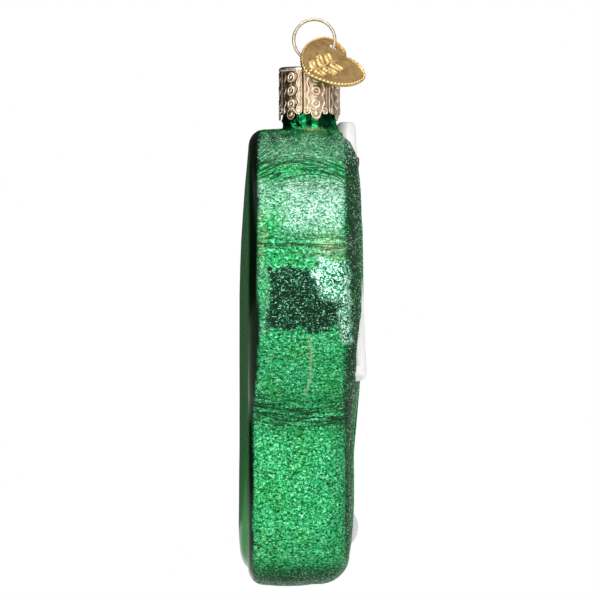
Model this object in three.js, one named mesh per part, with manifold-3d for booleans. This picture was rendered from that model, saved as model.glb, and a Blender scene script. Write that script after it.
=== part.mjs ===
// Putting green ornament: a hollow blown glass green with a stamped cap, a spring hanger and a heart tag.
// Millimetres, +Z up, the front of the green faces -Y. The origin is the inside of the hanging ring's top.
import * as THREE from 'three';
import { mergeVertices } from 'three/addons/utils/BufferGeometryUtils.js';
import Module from 'manifold-3d';

const wasm = await Module();
wasm.setup();

// Clearance between pieces that seat in one another.
const fitGap = 0.3;

// Hanging ring and the spring legs under it.
const wireRadius = 0.32;
const ringRadius = 4.05;
const ringLean = THREE.MathUtils.degToRad(10);
const ringRise = 5.46;
const ringGap = THREE.MathUtils.degToRad(13);
const legSpacing = 2.2;
const legLength = 18;
const legBowDepth = 6.5;
const legFootSpacing = 2.6;
const legFootSplay = 1.0;
const legFootRise = 4;
const legShoulderSplay = 0.5;
const legShoulderDepth = 2.2;
const legStraightRise = 0.25;

// Stamped cap.
const capRadius = 6.1;
const capSheet = 0.4;
const capTopRounding = 1.0;
const capPanels = 7;
const capPanelTurn = THREE.MathUtils.degToRad(12.8);
const capSkirt = 8.8;
const capLobeDrop = 1.7;
const capBeadDrop = 0.6;
const capGroove = 0.16;
const capGrooveShare = 1 / 12;
const capLobeShare = 0.2;
const capBeadPlace = 0.34;
const capBeadShare = 0.13;
const legHoleClearance = 0.25;

// Glass neck.
const neckRadius = 5.3;
const glassWall = 0.9;
const neckLength = 11.7;
const neckFlare = 1.2;
const neckRootDepth = 1.5;
const neckOverlap = 4;
const neckFlareRise = 1;

// Front outline of the green, in X and Z, measured from the shoulder above the upper lobe's centre.
const upperLobeRadius = 32.5;
const greenHeight = 89.3;
const waistRadius = 6;
const nearWallRadius = 60;
const nearWallReach = 25;
const nearWallDepth = 71.6;
const nearCornerRadius = 13;
const bottomRadius = 80;
const farCornerRadius = 21;
const farWallRadius = 130;
const farWallStart = THREE.MathUtils.degToRad(-5);

// Side section of the green, along Y.
const backCrest = 13.7;
const backDome = 1.8;
const backRoundingDepth = 2.9;
const backRoundingInset = 3.2;
const frontCrest = 10.4;
const frontDome = 0.95;
const frontRoundingDepth = 4.1;
const frontRoundingInset = 5.5;
const lowerFrontStep = 1.8;
const lowerRoundingGrowth = 2.2;
const stepStart = 42;
const stepEnd = 61;
const wallBarrel = 0.3;
const frontPower = 4;
const upperBackPower = 1.6;
const lowerBackPower = 14;
const fullStart = 58;
const fullEnd = 84;
const shoulderFall = 1.2;
const fallStart = 2;
const fallEnd = 8;
const fallDepth = 14;
const offsetReach = 11;
const faceInset = 8;
const backFaceInset = 5.4;
const crestShares = [0.3, 0.6, 0.9];
const lowerLobeMiddle = new THREE.Vector2(-1, -64);

// Flagstick that lies in the front face, from its top beside the neck to its foot near the waist.
const stickRadius = 1.95;
const stickTopX = 3;
const stickTopY = -7.15;
const stickTopRise = 1.3;
const stickFootY = -9.1;
const stickFootInset = 4.1;
const stickFootHeading = THREE.MathUtils.degToRad(214.5);
const stickEndRounding = 0.9;

// Flag beside the stick, a thin skin that follows the face.
const flagDrop = 5.5;
const flagHeight = 10;
const flagLength = 13;
const flagWave = 0.9;
const flagFall = 0.12;
const flagThickness = 0.8;

// Cup that the stick lies across.
const cupFromFoot = 5.5;
const cupRadius = 4.1;
const cupRim = 0.9;
const cupDepth = 4.0;
const cupFloor = 0.7;
const cupProud = 0.9;

// Golf ball moulded low on the front face.
const ballRadius = 4.5;
const ballX = 8;
const ballRise = 10.8;
const ballProud = 1.05;
const ballSeat = 1.4;

// Heart tag of two round lobes, full sides and a rounded tip, threaded on the ring.
const tagLobeRadius = 4.3;
const tagLobeSpacing = 6.4;
const tagLobeHeight = 9.7;
const tagTipRadius = 2.2;
const tagTipHeight = 0.3;
const tagSideRadius = 12.6;
const tagSheet = 0.3;
const tagRimWidth = 0.55;
const tagRimRise = 0.12;
const tagHoleRadius = 0.75;
const tagHoleX = -3.5;
const tagHoleHeight = 12.5;
const tagRingAngle = THREE.MathUtils.degToRad(-26);
const tagTilt = new THREE.Euler(0.5376, -0.5079, -2.1171, 'XYZ');

// Corners of round forms.
const arcStep = THREE.MathUtils.degToRad(8);
const hollowArcStep = THREE.MathUtils.degToRad(14);
const fineSides = 48;
const plainSides = 28;
const holeSides = 16;
const columnsPerPanel = 12;

// Values that follow from the sizes above.
const shoulder = -capSheet - fitGap - neckLength;
const upperLobe = new THREE.Vector2(0, shoulder - upperLobeRadius);
const greenBottom = shoulder - greenHeight;
const stickTop = new THREE.Vector3(stickTopX, stickTopY, shoulder + stickTopRise);
const stickFootReach = upperLobeRadius - stickFootInset;
const stickFoot = new THREE.Vector3(
  upperLobe.x + stickFootReach * Math.cos(stickFootHeading),
  stickFootY,
  upperLobe.y + stickFootReach * Math.sin(stickFootHeading),
);
const stickLength = stickTop.distanceTo(stickFoot);
const cupCentre = stickFoot.clone().lerp(stickTop, cupFromFoot / stickLength);
const ringCentre = new THREE.Vector3(0, -Math.sin(ringLean) * ringRise, Math.cos(ringLean) * ringRise);
const hookPoint = ringCentre.clone().add(new THREE.Vector3(0, 0, ringRadius - wireRadius));

function material(color, roughness, metalness) {
  return new THREE.MeshStandardMaterial({ color, roughness, metalness });
}

const greenGlass = material(0x1f8f4e, 0.35, 0.6);
const paleGold = material(0xd8c19a, 0.3, 0.95);
const wireGold = material(0xdcc8a0, 0.25, 0.95);
const tagGold = material(0xc49a48, 0.35, 0.95);
const whiteEnamel = material(0xf2f1ec, 0.2, 0);
const pearl = material(0xe4e4e6, 0.25, 0.1);
const redEnamel = material(0xb8202a, 0.25, 0);

// Closed solid from a geometry, with its shared corners merged.
function solid(geometry) {
  const bare = geometry.clone();
  bare.deleteAttribute('normal');
  bare.deleteAttribute('uv');
  const merged = mergeVertices(bare, 1e-5);
  const mesh = new wasm.Mesh({
    numProp: 3,
    vertProperties: new Float32Array(merged.attributes.position.array),
    triVerts: new Uint32Array(merged.index.array),
  });
  return new wasm.Manifold(mesh);
}

function geometryOf(shape) {
  const mesh = shape.getMesh();
  const geometry = new THREE.BufferGeometry();
  geometry.setAttribute('position', new THREE.BufferAttribute(new Float32Array(mesh.vertProperties), 3));
  geometry.setIndex(Array.from(mesh.triVerts));
  return geometry;
}

function piece(name, geometry, look) {
  geometry.computeVertexNormals();
  const mesh = new THREE.Mesh(geometry, look);
  mesh.name = name;
  return mesh;
}

// Revolved body about +Z from a list of [radius, height] corners.
function turned(profile, sides) {
  const points = profile.map(([radius, height]) => new THREE.Vector2(radius, height));
  return new THREE.LatheGeometry(points, sides).rotateX(Math.PI / 2);
}

function smoothStep(value, start, end) {
  return THREE.MathUtils.smoothstep(value, start, end);
}

// Centre of a circle that touches two others, given its distances to their centres.
function touchingCentre(first, firstDistance, second, secondDistance, side) {
  const span = second.clone().sub(first);
  const length = span.length();
  const along = (firstDistance ** 2 - secondDistance ** 2 + length ** 2) / (2 * length);
  const across = Math.sqrt(firstDistance ** 2 - along ** 2) * side;
  const unit = span.divideScalar(length);
  const sideways = new THREE.Vector2(-unit.y, unit.x);
  return first.clone().addScaledVector(unit, along).addScaledVector(sideways, across);
}

function headingOf(from, to) {
  return Math.atan2(to.y - from.y, to.x - from.x);
}

// Points along an arc drawn in by an inset; a hollow arc has a negative radius and grows.
// The arc's end is left to the next arc.
function arcPoints({ centre, radius, from, to }, inset, step) {
  const count = Math.max(3, Math.round(Math.abs(to - from) / step));
  const reach = Math.abs(radius - inset);
  return Array.from({ length: count }, (_, i) => {
    const angle = from + ((to - from) * i) / count;
    return new THREE.Vector2(centre.x + Math.cos(angle) * reach, centre.y + Math.sin(angle) * reach);
  });
}

// The front outline as a chain of tangent arcs, anticlockwise from the start of the far wall.
function outlineArcs() {
  const nearWall = new THREE.Vector2(nearWallRadius - nearWallReach, shoulder - nearWallDepth);
  const bottom = new THREE.Vector2(0, greenBottom + bottomRadius);
  const farReach = farWallRadius - upperLobeRadius;
  const farWall = upperLobe.clone().sub(
    new THREE.Vector2(Math.cos(farWallStart), Math.sin(farWallStart)).multiplyScalar(farReach));
  const waist = touchingCentre(
    upperLobe, upperLobeRadius + waistRadius, nearWall, nearWallRadius + waistRadius, -1);
  const nearCorner = touchingCentre(
    nearWall, nearWallRadius - nearCornerRadius, bottom, bottomRadius - nearCornerRadius, 1);
  const farCorner = touchingCentre(
    bottom, bottomRadius - farCornerRadius, farWall, farWallRadius - farCornerRadius, 1);
  const joints = {
    upperEnd: headingOf(upperLobe, waist),
    wallTop: headingOf(nearWall, waist),
    wallEnd: headingOf(nearWall, nearCorner),
    bottomStart: headingOf(bottom, nearCorner),
    bottomEnd: headingOf(bottom, farCorner),
    farStart: headingOf(farWall, farCorner),
  };
  const turn = 2 * Math.PI;
  return [
    { centre: upperLobe, radius: upperLobeRadius, from: farWallStart, to: joints.upperEnd + turn },
    { centre: waist, radius: -waistRadius, from: joints.upperEnd + Math.PI, to: joints.wallTop - Math.PI },
    { centre: nearWall, radius: nearWallRadius, from: joints.wallTop, to: joints.wallEnd + turn },
    { centre: nearCorner, radius: nearCornerRadius, from: joints.wallEnd, to: joints.bottomStart },
    { centre: bottom, radius: bottomRadius, from: joints.bottomStart, to: joints.bottomEnd },
    { centre: farCorner, radius: farCornerRadius, from: joints.bottomEnd, to: joints.farStart },
    { centre: farWall, radius: farWallRadius, from: joints.farStart, to: farWallStart },
  ];
}

function outline(inset, step = arcStep) {
  return outlineArcs().flatMap((arc) => arcPoints(arc, inset, step));
}

// Rise of a dome at a distance in from its rounded edge, level again at its full reach.
function domeRise(inset, reach, height, power) {
  const part = THREE.MathUtils.clamp(inset / reach, 0, 1);
  return height * (1 - (1 - part) ** power);
}

// Steepness of the back's dome: gentle over the upper lobe and steep near the bottom.
function backPower(z) {
  return THREE.MathUtils.lerp(upperBackPower, lowerBackPower, smoothStep(shoulder - z, fullStart, fullEnd));
}

// How far the shoulder slopes down towards the front at a point.
function fallAt(point) {
  const forward = smoothStep(-point.y, fallStart, fallEnd);
  return shoulderFall * forward * (1 - smoothStep(shoulder - point.z, 0, fallDepth));
}

// Rings of the side section: how far each lies in from the outline, and its Y at a given height and reach.
function sectionRings(skin) {
  const rings = [];
  const backInset = backRoundingInset - skin;
  const backDepth = backRoundingDepth - skin;
  const frontInset = frontRoundingInset - skin;
  const backEdge = backCrest - backDome - backRoundingDepth;
  const frontEdge = -(frontCrest - frontDome - frontRoundingDepth);
  const lower = (z) => smoothStep(shoulder - z, stepStart, stepEnd);
  const backY = (inset, z, reach) => backEdge + backDepth
    + domeRise(inset - backInset, reach - backInset, backDome, backPower(z));
  const frontWallY = (z) => frontEdge + lower(z) * (lowerFrontStep + lowerRoundingGrowth);
  const frontDepth = (z) => frontRoundingDepth - skin + lower(z) * lowerRoundingGrowth;
  const frontY = (inset, z, reach) => frontWallY(z) - frontDepth(z)
    - domeRise(inset - frontInset, reach - frontInset, frontDome, frontPower);
  for (const inset of [offsetReach - skin, faceInset, backFaceInset]) {
    rings.push({ inset, y: (z, reach) => backY(inset, z, reach) });
  }
  const backSteps = 4;
  for (let i = 0; i <= backSteps; i += 1) {
    const angle = (Math.PI / 2) * (1 - i / backSteps);
    const inset = backInset * (1 - Math.cos(angle));
    rings.push({ inset, y: () => backEdge + backDepth * Math.sin(angle) });
  }
  const wallSteps = 4;
  for (let i = 1; i < wallSteps; i += 1) {
    const share = i / wallSteps;
    const inset = -wallBarrel * Math.sin(Math.PI * share);
    rings.push({ inset, y: (z) => THREE.MathUtils.lerp(backEdge, frontWallY(z), share) });
  }
  const frontSteps = 5;
  for (let i = 0; i <= frontSteps; i += 1) {
    const angle = (Math.PI / 2) * (i / frontSteps);
    const inset = frontInset * (1 - Math.cos(angle));
    rings.push({ inset, y: (z) => frontWallY(z) - frontDepth(z) * Math.sin(angle) });
  }
  for (const inset of [faceInset, offsetReach - skin]) {
    rings.push({ inset, y: (z, reach) => frontY(inset, z, reach) });
  }
  return { rings, backY, frontY };
}

// Nearest point on the line between the middles of the two lobes.
function spinePoint(point) {
  const start = upperLobe;
  const end = new THREE.Vector2(lowerLobeMiddle.x, shoulder + lowerLobeMiddle.y);
  const span = end.clone().sub(start);
  const share = THREE.MathUtils.clamp(point.clone().sub(start).dot(span) / span.lengthSq(), 0, 1);
  return start.clone().addScaledVector(span, share);
}

// Pillow-shaped green, drawn in by the thickness of a skin: offset rings, closed over both crests.
function green(skin, step = arcStep) {
  const { rings, backY, frontY } = sectionRings(skin);
  const inner = outline(offsetReach, step);
  const targets = inner.map(spinePoint);
  const reaches = inner.map((point, i) => offsetReach - skin + targets[i].distanceTo(point));
  const loops = rings.map(({ inset, y }) => outline(inset + skin, step).map(
    (point, i) => new THREE.Vector3(point.x, y(point.y, reaches[i]), point.y)));
  const crestLoop = (share, height) => inner.map((point, i) => {
    const inset = THREE.MathUtils.lerp(offsetReach - skin, reaches[i], share);
    const place = point.clone().lerp(targets[i], share);
    return new THREE.Vector3(place.x, height(inset, place.y, reaches[i]), place.y);
  });
  for (const share of crestShares) {
    loops.unshift(crestLoop(share, backY));
    loops.push(crestLoop(share, frontY));
  }
  for (const point of loops.flat()) {
    point.z -= fallAt(point);
  }
  return closedLoops(loops);
}

// Triangles across an upright, slender loop, zipped from its top down both of its sides.
function zipped(loop) {
  const count = loop.length;
  const top = loop.reduce((best, point, i) => (point.z > loop[best].z ? i : best), 0);
  const corner = (i) => (top + i) % count;
  const triangles = [];
  let left = 0;
  let right = count - 1;
  while (right - left > 1) {
    if (loop[corner(left + 1)].z > loop[corner(right - 1)].z) {
      triangles.push([corner(left), corner(left + 1), corner(right)]);
      left += 1;
    } else {
      triangles.push([corner(left), corner(right - 1), corner(right)]);
      right -= 1;
    }
  }
  return triangles;
}

// Skin through a stack of loops of equal count, with its first and last loop filled.
function closedLoops(loops) {
  const count = loops[0].length;
  const positions = loops.flat().flatMap((point) => [point.x, point.y, point.z]);
  const faces = [];
  for (let ring = 0; ring + 1 < loops.length; ring += 1) {
    for (let i = 0; i < count; i += 1) {
      const next = (i + 1) % count;
      const a = ring * count + i;
      const b = ring * count + next;
      const c = a + count;
      const d = b + count;
      faces.push(a, b, d, a, d, c);
    }
  }
  const last = loops.length - 1;
  for (const [a, b, c] of zipped(loops[0])) {
    faces.push(a, c, b);
  }
  for (const triangle of zipped(loops[last])) {
    faces.push(...triangle.map((corner) => corner + last * count));
  }
  const geometry = new THREE.BufferGeometry();
  geometry.setAttribute('position', new THREE.Float32BufferAttribute(positions, 3));
  geometry.setIndex(faces);
  return geometry;
}

// Geometry along an axis from one point towards another: its own +Z runs along the axis.
function aimed(geometry, from, to) {
  const direction = to.clone().sub(from).normalize();
  const front = new THREE.Vector3(0, -1, 0);
  const side = new THREE.Vector3().crossVectors(front, direction).normalize();
  const up = new THREE.Vector3().crossVectors(direction, side);
  const frame = new THREE.Matrix4().makeBasis(side, up, direction).setPosition(from);
  return geometry.applyMatrix4(frame);
}

// Trough for the stick: round below and open towards the front.
function stickTrough(radius) {
  const mouth = frontCrest;
  const section = new THREE.Shape();
  section.moveTo(radius, 0);
  section.lineTo(radius, mouth);
  section.lineTo(-radius, mouth);
  section.lineTo(-radius, 0);
  section.absarc(0, 0, radius, Math.PI, 2 * Math.PI, false);
  const margin = radius - stickRadius;
  const trough = new THREE.ExtrudeGeometry(section, {
    depth: stickLength + 2 * margin, bevelEnabled: false, curveSegments: 10,
  });
  trough.translate(0, 0, -margin);
  return solid(aimed(trough, stickFoot, stickTop));
}

function stick() {
  const steps = 3;
  const rounding = Array.from({ length: steps + 1 }, (_, i) => {
    const angle = (Math.PI / 2) * (i / steps);
    return [stickEndRounding * (1 - Math.cos(angle)), stickEndRounding * (1 - Math.sin(angle))];
  });
  const foot = rounding.map(([side, end]) => [stickRadius - side, end]).reverse();
  const top = rounding.map(([side, end]) => [stickRadius - side, stickLength - end]);
  return aimed(turned([[0, 0], ...foot, ...top, [0, stickLength]], plainSides), stickFoot, stickTop);
}

// Front outline of the flag, waving away from the stick and drawn out by a margin.
function flagPrism(margin) {
  const down = stickFoot.clone().sub(stickTop).normalize();
  const along = new THREE.Vector2(down.x, down.z).normalize();
  const across = new THREE.Vector2(-along.y, along.x);
  const start = new THREE.Vector2(stickTop.x, stickTop.z)
    .addScaledVector(along, flagDrop)
    .addScaledVector(across, stickRadius + fitGap - margin);
  const fly = new THREE.Vector2(1, -flagFall).normalize();
  const steps = 8;
  const length = flagLength + 2 * margin;
  const edge = (offset, share) => {
    const wave = flagWave * Math.sin(2 * Math.PI * share);
    return start.clone().addScaledVector(along, offset + wave).addScaledVector(fly, length * share);
  };
  const top = Array.from({ length: steps + 1 }, (_, i) => edge(-margin, i / steps));
  const bottom = Array.from({ length: steps + 1 }, (_, i) => edge(flagHeight + margin, i / steps));
  const shape = new THREE.Shape([...top, ...bottom.reverse()]);
  const prism = new THREE.ExtrudeGeometry(shape, { depth: 2 * frontCrest, bevelEnabled: false });
  return solid(prism.rotateX(Math.PI / 2));
}

// Round cup under the stick; its mouth faces the front.
function cupPlaced(profile) {
  const shape = turned(profile, fineSides).rotateX(Math.PI / 2);
  return solid(shape.translate(cupCentre.x, cupCentre.y, cupCentre.z));
}

function cup() {
  const rimInner = cupRadius - cupRim;
  const floor = cupProud - cupDepth;
  const shoulderHeight = cupProud - cupRim / 2;
  const shape = cupPlaced([
    [0, floor], [cupRadius, floor], [cupRadius, shoulderHeight], [cupRadius - cupRim / 4, cupProud],
    [rimInner + cupRim / 4, cupProud], [rimInner, shoulderHeight], [rimInner, floor + cupFloor],
    [0, floor + cupFloor],
  ]);
  return shape.subtract(stickTrough(stickRadius + fitGap));
}

function cupPocket(margin) {
  const floor = cupProud - cupDepth - margin;
  const radius = cupRadius + margin;
  return cupPlaced([[0, floor], [radius, floor], [radius, frontCrest], [0, frontCrest]]);
}

// Golf ball seat, from the face of the lower lobe.
const lowerFront = -(frontCrest - lowerFrontStep);
const ballCentre = new THREE.Vector3(ballX, lowerFront - ballProud + ballRadius, greenBottom + ballRise);

function ballPlaced(profile) {
  const shape = turned(profile, plainSides).rotateX(Math.PI / 2);
  return shape.translate(ballCentre.x, ballCentre.y, ballCentre.z);
}

function ballProfile(radius, seat) {
  const rim = Math.sqrt(radius ** 2 - seat ** 2);
  const start = Math.atan2(seat, rim);
  const profile = [[0, seat]];
  const steps = 6;
  for (let i = 0; i <= steps; i += 1) {
    const angle = start + (Math.PI / 2 - start) * (i / steps);
    profile.push([radius * Math.cos(angle), radius * Math.sin(angle)]);
  }
  profile[profile.length - 1][0] = 0;
  return profile;
}

const ballSeatHeight = ballRadius - ballProud - ballSeat;

function ballPocket(margin) {
  const reach = ballRadius * 2;
  const radius = Math.sqrt(ballRadius ** 2 - ballSeatHeight ** 2) + margin;
  const floor = ballSeatHeight - margin;
  return solid(ballPlaced([[0, floor], [radius, floor], [radius, reach], [0, reach]]));
}

// Neck with a flared root, as an outer form or as its bore.
function neckForm(radius, topHeight, flare) {
  const root = shoulder - neckRootDepth;
  const foot = root - neckOverlap;
  const profile = [[0, foot], [radius + flare, foot], [radius + flare, root]];
  const steps = 4;
  for (let i = 1; i <= steps; i += 1) {
    const angle = (Math.PI / 2) * (i / steps);
    const rise = neckFlareRise + flare * (1 - Math.cos(angle));
    profile.push([radius + flare * (1 - Math.sin(angle)), root + rise]);
  }
  profile.push([radius, topHeight], [0, topHeight]);
  return solid(turned(profile, fineSides));
}

function glassBody() {
  const neckTop = shoulder + neckLength;
  const seats = (margin) => stickTrough(stickRadius + fitGap + margin)
    .add(cupPocket(fitGap + margin))
    .add(ballPocket(fitGap + margin));
  const flagSeat = flagPrism(fitGap).subtract(solid(green(flagThickness + fitGap)));
  const flagBack = flagPrism(fitGap + glassWall)
    .subtract(solid(green(flagThickness + fitGap + glassWall, hollowArcStep)));
  const outer = solid(green(0)).add(neckForm(neckRadius, neckTop, neckFlare));
  const hollow = solid(green(glassWall, hollowArcStep)).subtract(seats(glassWall)).subtract(flagBack);
  const bore = neckForm(neckRadius - glassWall, neckTop + 1, 0);
  return outer.subtract(hollow.add(bore)).subtract(seats(0)).subtract(flagSeat);
}

function flag() {
  return flagPrism(0).intersect(solid(green(0))).subtract(solid(green(flagThickness)));
}

// Cap: a drawn sheet with a scalloped skirt in panels, and two holes for the wire.
function cap() {
  const inner = capRadius - capSheet;
  const bend = capTopRounding;
  const cut = bend * (1 - Math.SQRT1_2);
  const profile = [
    [0, -capSheet], [inner - bend, -capSheet], [inner - cut, -capSheet - cut],
    [inner, -capSheet - bend], [inner, -capSkirt / 2], [inner, -capSkirt],
    [capRadius, -capSkirt], [capRadius, -capSkirt / 2], [capRadius, -bend],
    [capRadius - cut, -cut], [capRadius - bend, 0], [0, 0],
  ];
  const shell = turned(profile, capPanels * columnsPerPanel);
  const place = shell.attributes.position;
  for (let i = 0; i < place.count; i += 1) {
    const point = new THREE.Vector3().fromBufferAttribute(place, i);
    const turn = Math.atan2(point.y, point.x) - capPanelTurn;
    const wave = (((turn / (2 * Math.PI)) * capPanels) % 1 + 1) % 1;
    const radius = Math.hypot(point.x, point.y);
    if (Math.abs(point.z + capSkirt) < 1e-4) {
      point.z -= scallop(wave);
    }
    if (radius > inner + capSheet / 2 && point.z < -bend / 2) {
      const groove = capGroove * Math.max(0, 1 - Math.min(wave, 1 - wave) / capGrooveShare);
      point.x *= 1 - groove / radius;
      point.y *= 1 - groove / radius;
    }
    place.setXYZ(i, point.x, point.y, point.z);
  }
  let sheet = solid(shell);
  for (const side of [-1, 1]) {
    const hole = drill(wireRadius + legHoleClearance, 2 * capSheet);
    sheet = sheet.subtract(solid(hole.translate(0, (side * legSpacing) / 2, 0)));
  }
  return sheet;
}

// Drop of the skirt's edge across one panel: a lobe in the middle and a small bead at each side.
function scallop(wave) {
  const fromMiddle = Math.abs(wave - 0.5);
  const lobe = Math.max(0, 1 - (fromMiddle / capLobeShare) ** 2);
  const bead = Math.max(0, 1 - ((fromMiddle - capBeadPlace) / capBeadShare) ** 2);
  return capLobeDrop * Math.sqrt(lobe) + capBeadDrop * Math.sqrt(bead);
}

// One wire: up one leg, round the ring and down the other leg.
function hangerWire() {
  const bow = neckRadius - glassWall - fitGap - wireRadius;
  const side = (sign) => [
    new THREE.Vector3(0, (sign * legFootSpacing) / 2, -legLength),
    new THREE.Vector3(0, sign * (legFootSpacing / 2 + legFootSplay), -legLength + legFootRise),
    new THREE.Vector3(0, sign * bow, -legBowDepth),
    new THREE.Vector3(0, sign * (legSpacing / 2 + legShoulderSplay), -legShoulderDepth),
    new THREE.Vector3(0, (sign * legSpacing) / 2, -capSheet),
    new THREE.Vector3(0, (sign * legSpacing) / 2, legStraightRise),
  ];
  const ring = [];
  const ringSteps = 22;
  const bottomAngle = -Math.PI / 2 + ringLean;
  for (let i = 0; i <= ringSteps; i += 1) {
    const angle = bottomAngle + ringGap + (2 * (Math.PI - ringGap) * i) / ringSteps;
    ring.push(new THREE.Vector3(
      0,
      ringCentre.y + ringRadius * Math.cos(angle),
      ringCentre.z + ringRadius * Math.sin(angle),
    ));
  }
  const path = new THREE.CatmullRomCurve3([...side(1), ...ring, ...side(-1).reverse()], false, 'centripetal');
  const section = new THREE.Shape().absarc(0, 0, wireRadius, 0, 2 * Math.PI, false);
  return new THREE.ExtrudeGeometry(section, { extrudePath: path, steps: 90, curveSegments: 4 });
}

// Flat heart of touching arcs, drawn in by an inset. It stands on its tip above the origin.
function heartShape(inset) {
  const tip = new THREE.Vector2(0, tagTipHeight);
  const lobe = new THREE.Vector2(tagLobeSpacing / 2, tagLobeHeight);
  const side = touchingCentre(tip, tagSideRadius - tagTipRadius, lobe, tagSideRadius - tagLobeRadius, 1);
  const mirrored = (point) => new THREE.Vector2(-point.x, point.y);
  const tipTurn = headingOf(side, tip);
  const lobeTurn = headingOf(side, lobe);
  const notch = Math.PI - Math.acos(Math.min(1, lobe.x / (tagLobeRadius - inset)));
  const arcs = [
    { centre: tip, radius: tagTipRadius, from: -Math.PI - tipTurn, to: tipTurn },
    { centre: side, radius: tagSideRadius, from: tipTurn, to: lobeTurn },
    { centre: lobe, radius: tagLobeRadius, from: lobeTurn, to: notch },
    { centre: mirrored(lobe), radius: tagLobeRadius, from: Math.PI - notch, to: Math.PI - lobeTurn },
    { centre: mirrored(side), radius: tagSideRadius, from: Math.PI - lobeTurn, to: Math.PI - tipTurn },
  ];
  return new THREE.Shape(arcs.flatMap((arc) => arcPoints(arc, inset, arcStep)));
}

// Flat heart of a thickness, across the plane of its outline.
function heartPlate(inset, thickness) {
  const plate = new THREE.ExtrudeGeometry(heartShape(inset), { depth: thickness, bevelEnabled: false });
  return solid(plate.translate(0, 0, -thickness / 2));
}

// Rod for a hole through a sheet that lies across +Z.
function drill(radius, reach) {
  return turned([[0, -reach], [radius, -reach], [radius, reach], [0, reach]], holeSides);
}

function heartTag() {
  const rimThickness = tagSheet + 2 * tagRimRise;
  const rim = heartPlate(0, rimThickness).subtract(heartPlate(tagRimWidth, 2 * rimThickness));
  const hole = solid(drill(tagHoleRadius, rimThickness).translate(tagHoleX, tagHoleHeight, 0));
  return heartPlate(tagRimWidth / 2, tagSheet).add(rim).subtract(hole);
}

const ornament = new THREE.Group();
ornament.position.copy(hookPoint).negate();

ornament.add(piece('hanger_wire', hangerWire(), wireGold));
ornament.add(piece('cap', geometryOf(cap()), paleGold));
ornament.add(piece('glass_body', geometryOf(glassBody()), greenGlass));
ornament.add(piece('flagstick', stick(), whiteEnamel));
ornament.add(piece('flag', geometryOf(flag()), redEnamel));
ornament.add(piece('cup', geometryOf(cup()), whiteEnamel));
ornament.add(piece('golf_ball', ballPlaced(ballProfile(ballRadius, ballSeatHeight)), pearl));

// The tag hangs by its hole on the ring: its hole is moved to the wire's centre there.
const tag = piece('heart_tag', geometryOf(heartTag()), tagGold);
tag.geometry.translate(-tagHoleX, -tagHoleHeight, 0);
tag.rotation.copy(tagTilt);
tag.position.set(
  0,
  ringCentre.y - ringRadius * Math.cos(tagRingAngle),
  ringCentre.z + ringRadius * Math.sin(tagRingAngle),
);
ornament.add(tag);

export default ornament;
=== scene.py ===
"""Looks of the putting green ornament: glittered blown glass, stamped cap, wire hanger and heart tag."""
import math

import bpy
import numpy as np
from mathutils import Matrix, Vector, noise
from mathutils.kdtree import KDTree


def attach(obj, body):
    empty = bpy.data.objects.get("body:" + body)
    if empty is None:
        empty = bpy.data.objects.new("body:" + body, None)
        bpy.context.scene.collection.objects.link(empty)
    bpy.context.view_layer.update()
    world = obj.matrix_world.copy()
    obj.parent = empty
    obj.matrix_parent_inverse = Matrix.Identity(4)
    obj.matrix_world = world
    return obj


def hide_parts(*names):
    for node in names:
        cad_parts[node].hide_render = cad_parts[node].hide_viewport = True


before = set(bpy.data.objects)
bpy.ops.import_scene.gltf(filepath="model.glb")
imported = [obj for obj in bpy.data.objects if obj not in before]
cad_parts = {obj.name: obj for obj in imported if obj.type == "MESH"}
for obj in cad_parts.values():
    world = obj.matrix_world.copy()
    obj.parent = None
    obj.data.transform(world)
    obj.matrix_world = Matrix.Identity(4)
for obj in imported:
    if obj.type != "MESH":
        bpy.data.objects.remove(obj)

MM = 0.001
FULL_TURN = 2 * math.pi
RIGHT_ANGLE = math.pi / 2
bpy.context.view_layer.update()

# Sizes in millimetres, from the cap's top on the neck's axis. The front faces -Y.
WIRE_RADIUS = 0.32
RING_RADIUS = 4.05
RING_LEAN = math.radians(10)
RING_RISE = 5.46
RING_GAP = math.radians(13)
WIRE_END_EASE = 0.3
LEG_SPACING = 2.2
LEG_LENGTH = 18
LEG_BOW_DEPTH = 6.5
LEG_FOOT_SPACING = 2.6

CAP_RADIUS = 6.1
CAP_SHEET = 0.4
CAP_PANELS = 7
CAP_PANEL_TURN = math.radians(12.8)
CAP_SKIRT = 8.8
CAP_LOBE_DROP = 1.7
CAP_BEAD_DROP = 0.6
CAP_ROUNDING = 0.75
CAP_STAMP_BASE = 0.14
CAP_STAMP_SHARE = 0.62
CAP_LOBE_WIDTH = 0.2
CAP_BEAD_PLACE = 0.34
CAP_BEAD_WIDTH = 0.13
GROOVE_DEPTH = 0.26
GROOVE_WIDTH = 0.17
SCROLL_HEIGHT = 0.17
SCROLL_WIDTH = 0.24
SCROLL_PLACE = 1.62
SCROLL_SWAY = 0.22
SCROLL_PITCH = 2.55
ROSE_ROWS = 3
ROSE_PITCH = 2.62
ROSE_DROP = 2.1
TOP_BEAD_PITCH = 0.44
TOP_BEAD_DROP = 0.62
LEG_HOLE_RADIUS = 0.57

NECK_RADIUS = 5.3
NECK_LENGTH = 11.7
NECK_FLARE = 1.2
NECK_ROOT_DEPTH = 1.5
NECK_OVERLAP = 4
NECK_FLARE_RISE = 1
NECK_ROUGHNESS = 0.32
GLASS_WALL = 0.9
FIT_GAP = 0.3

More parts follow.
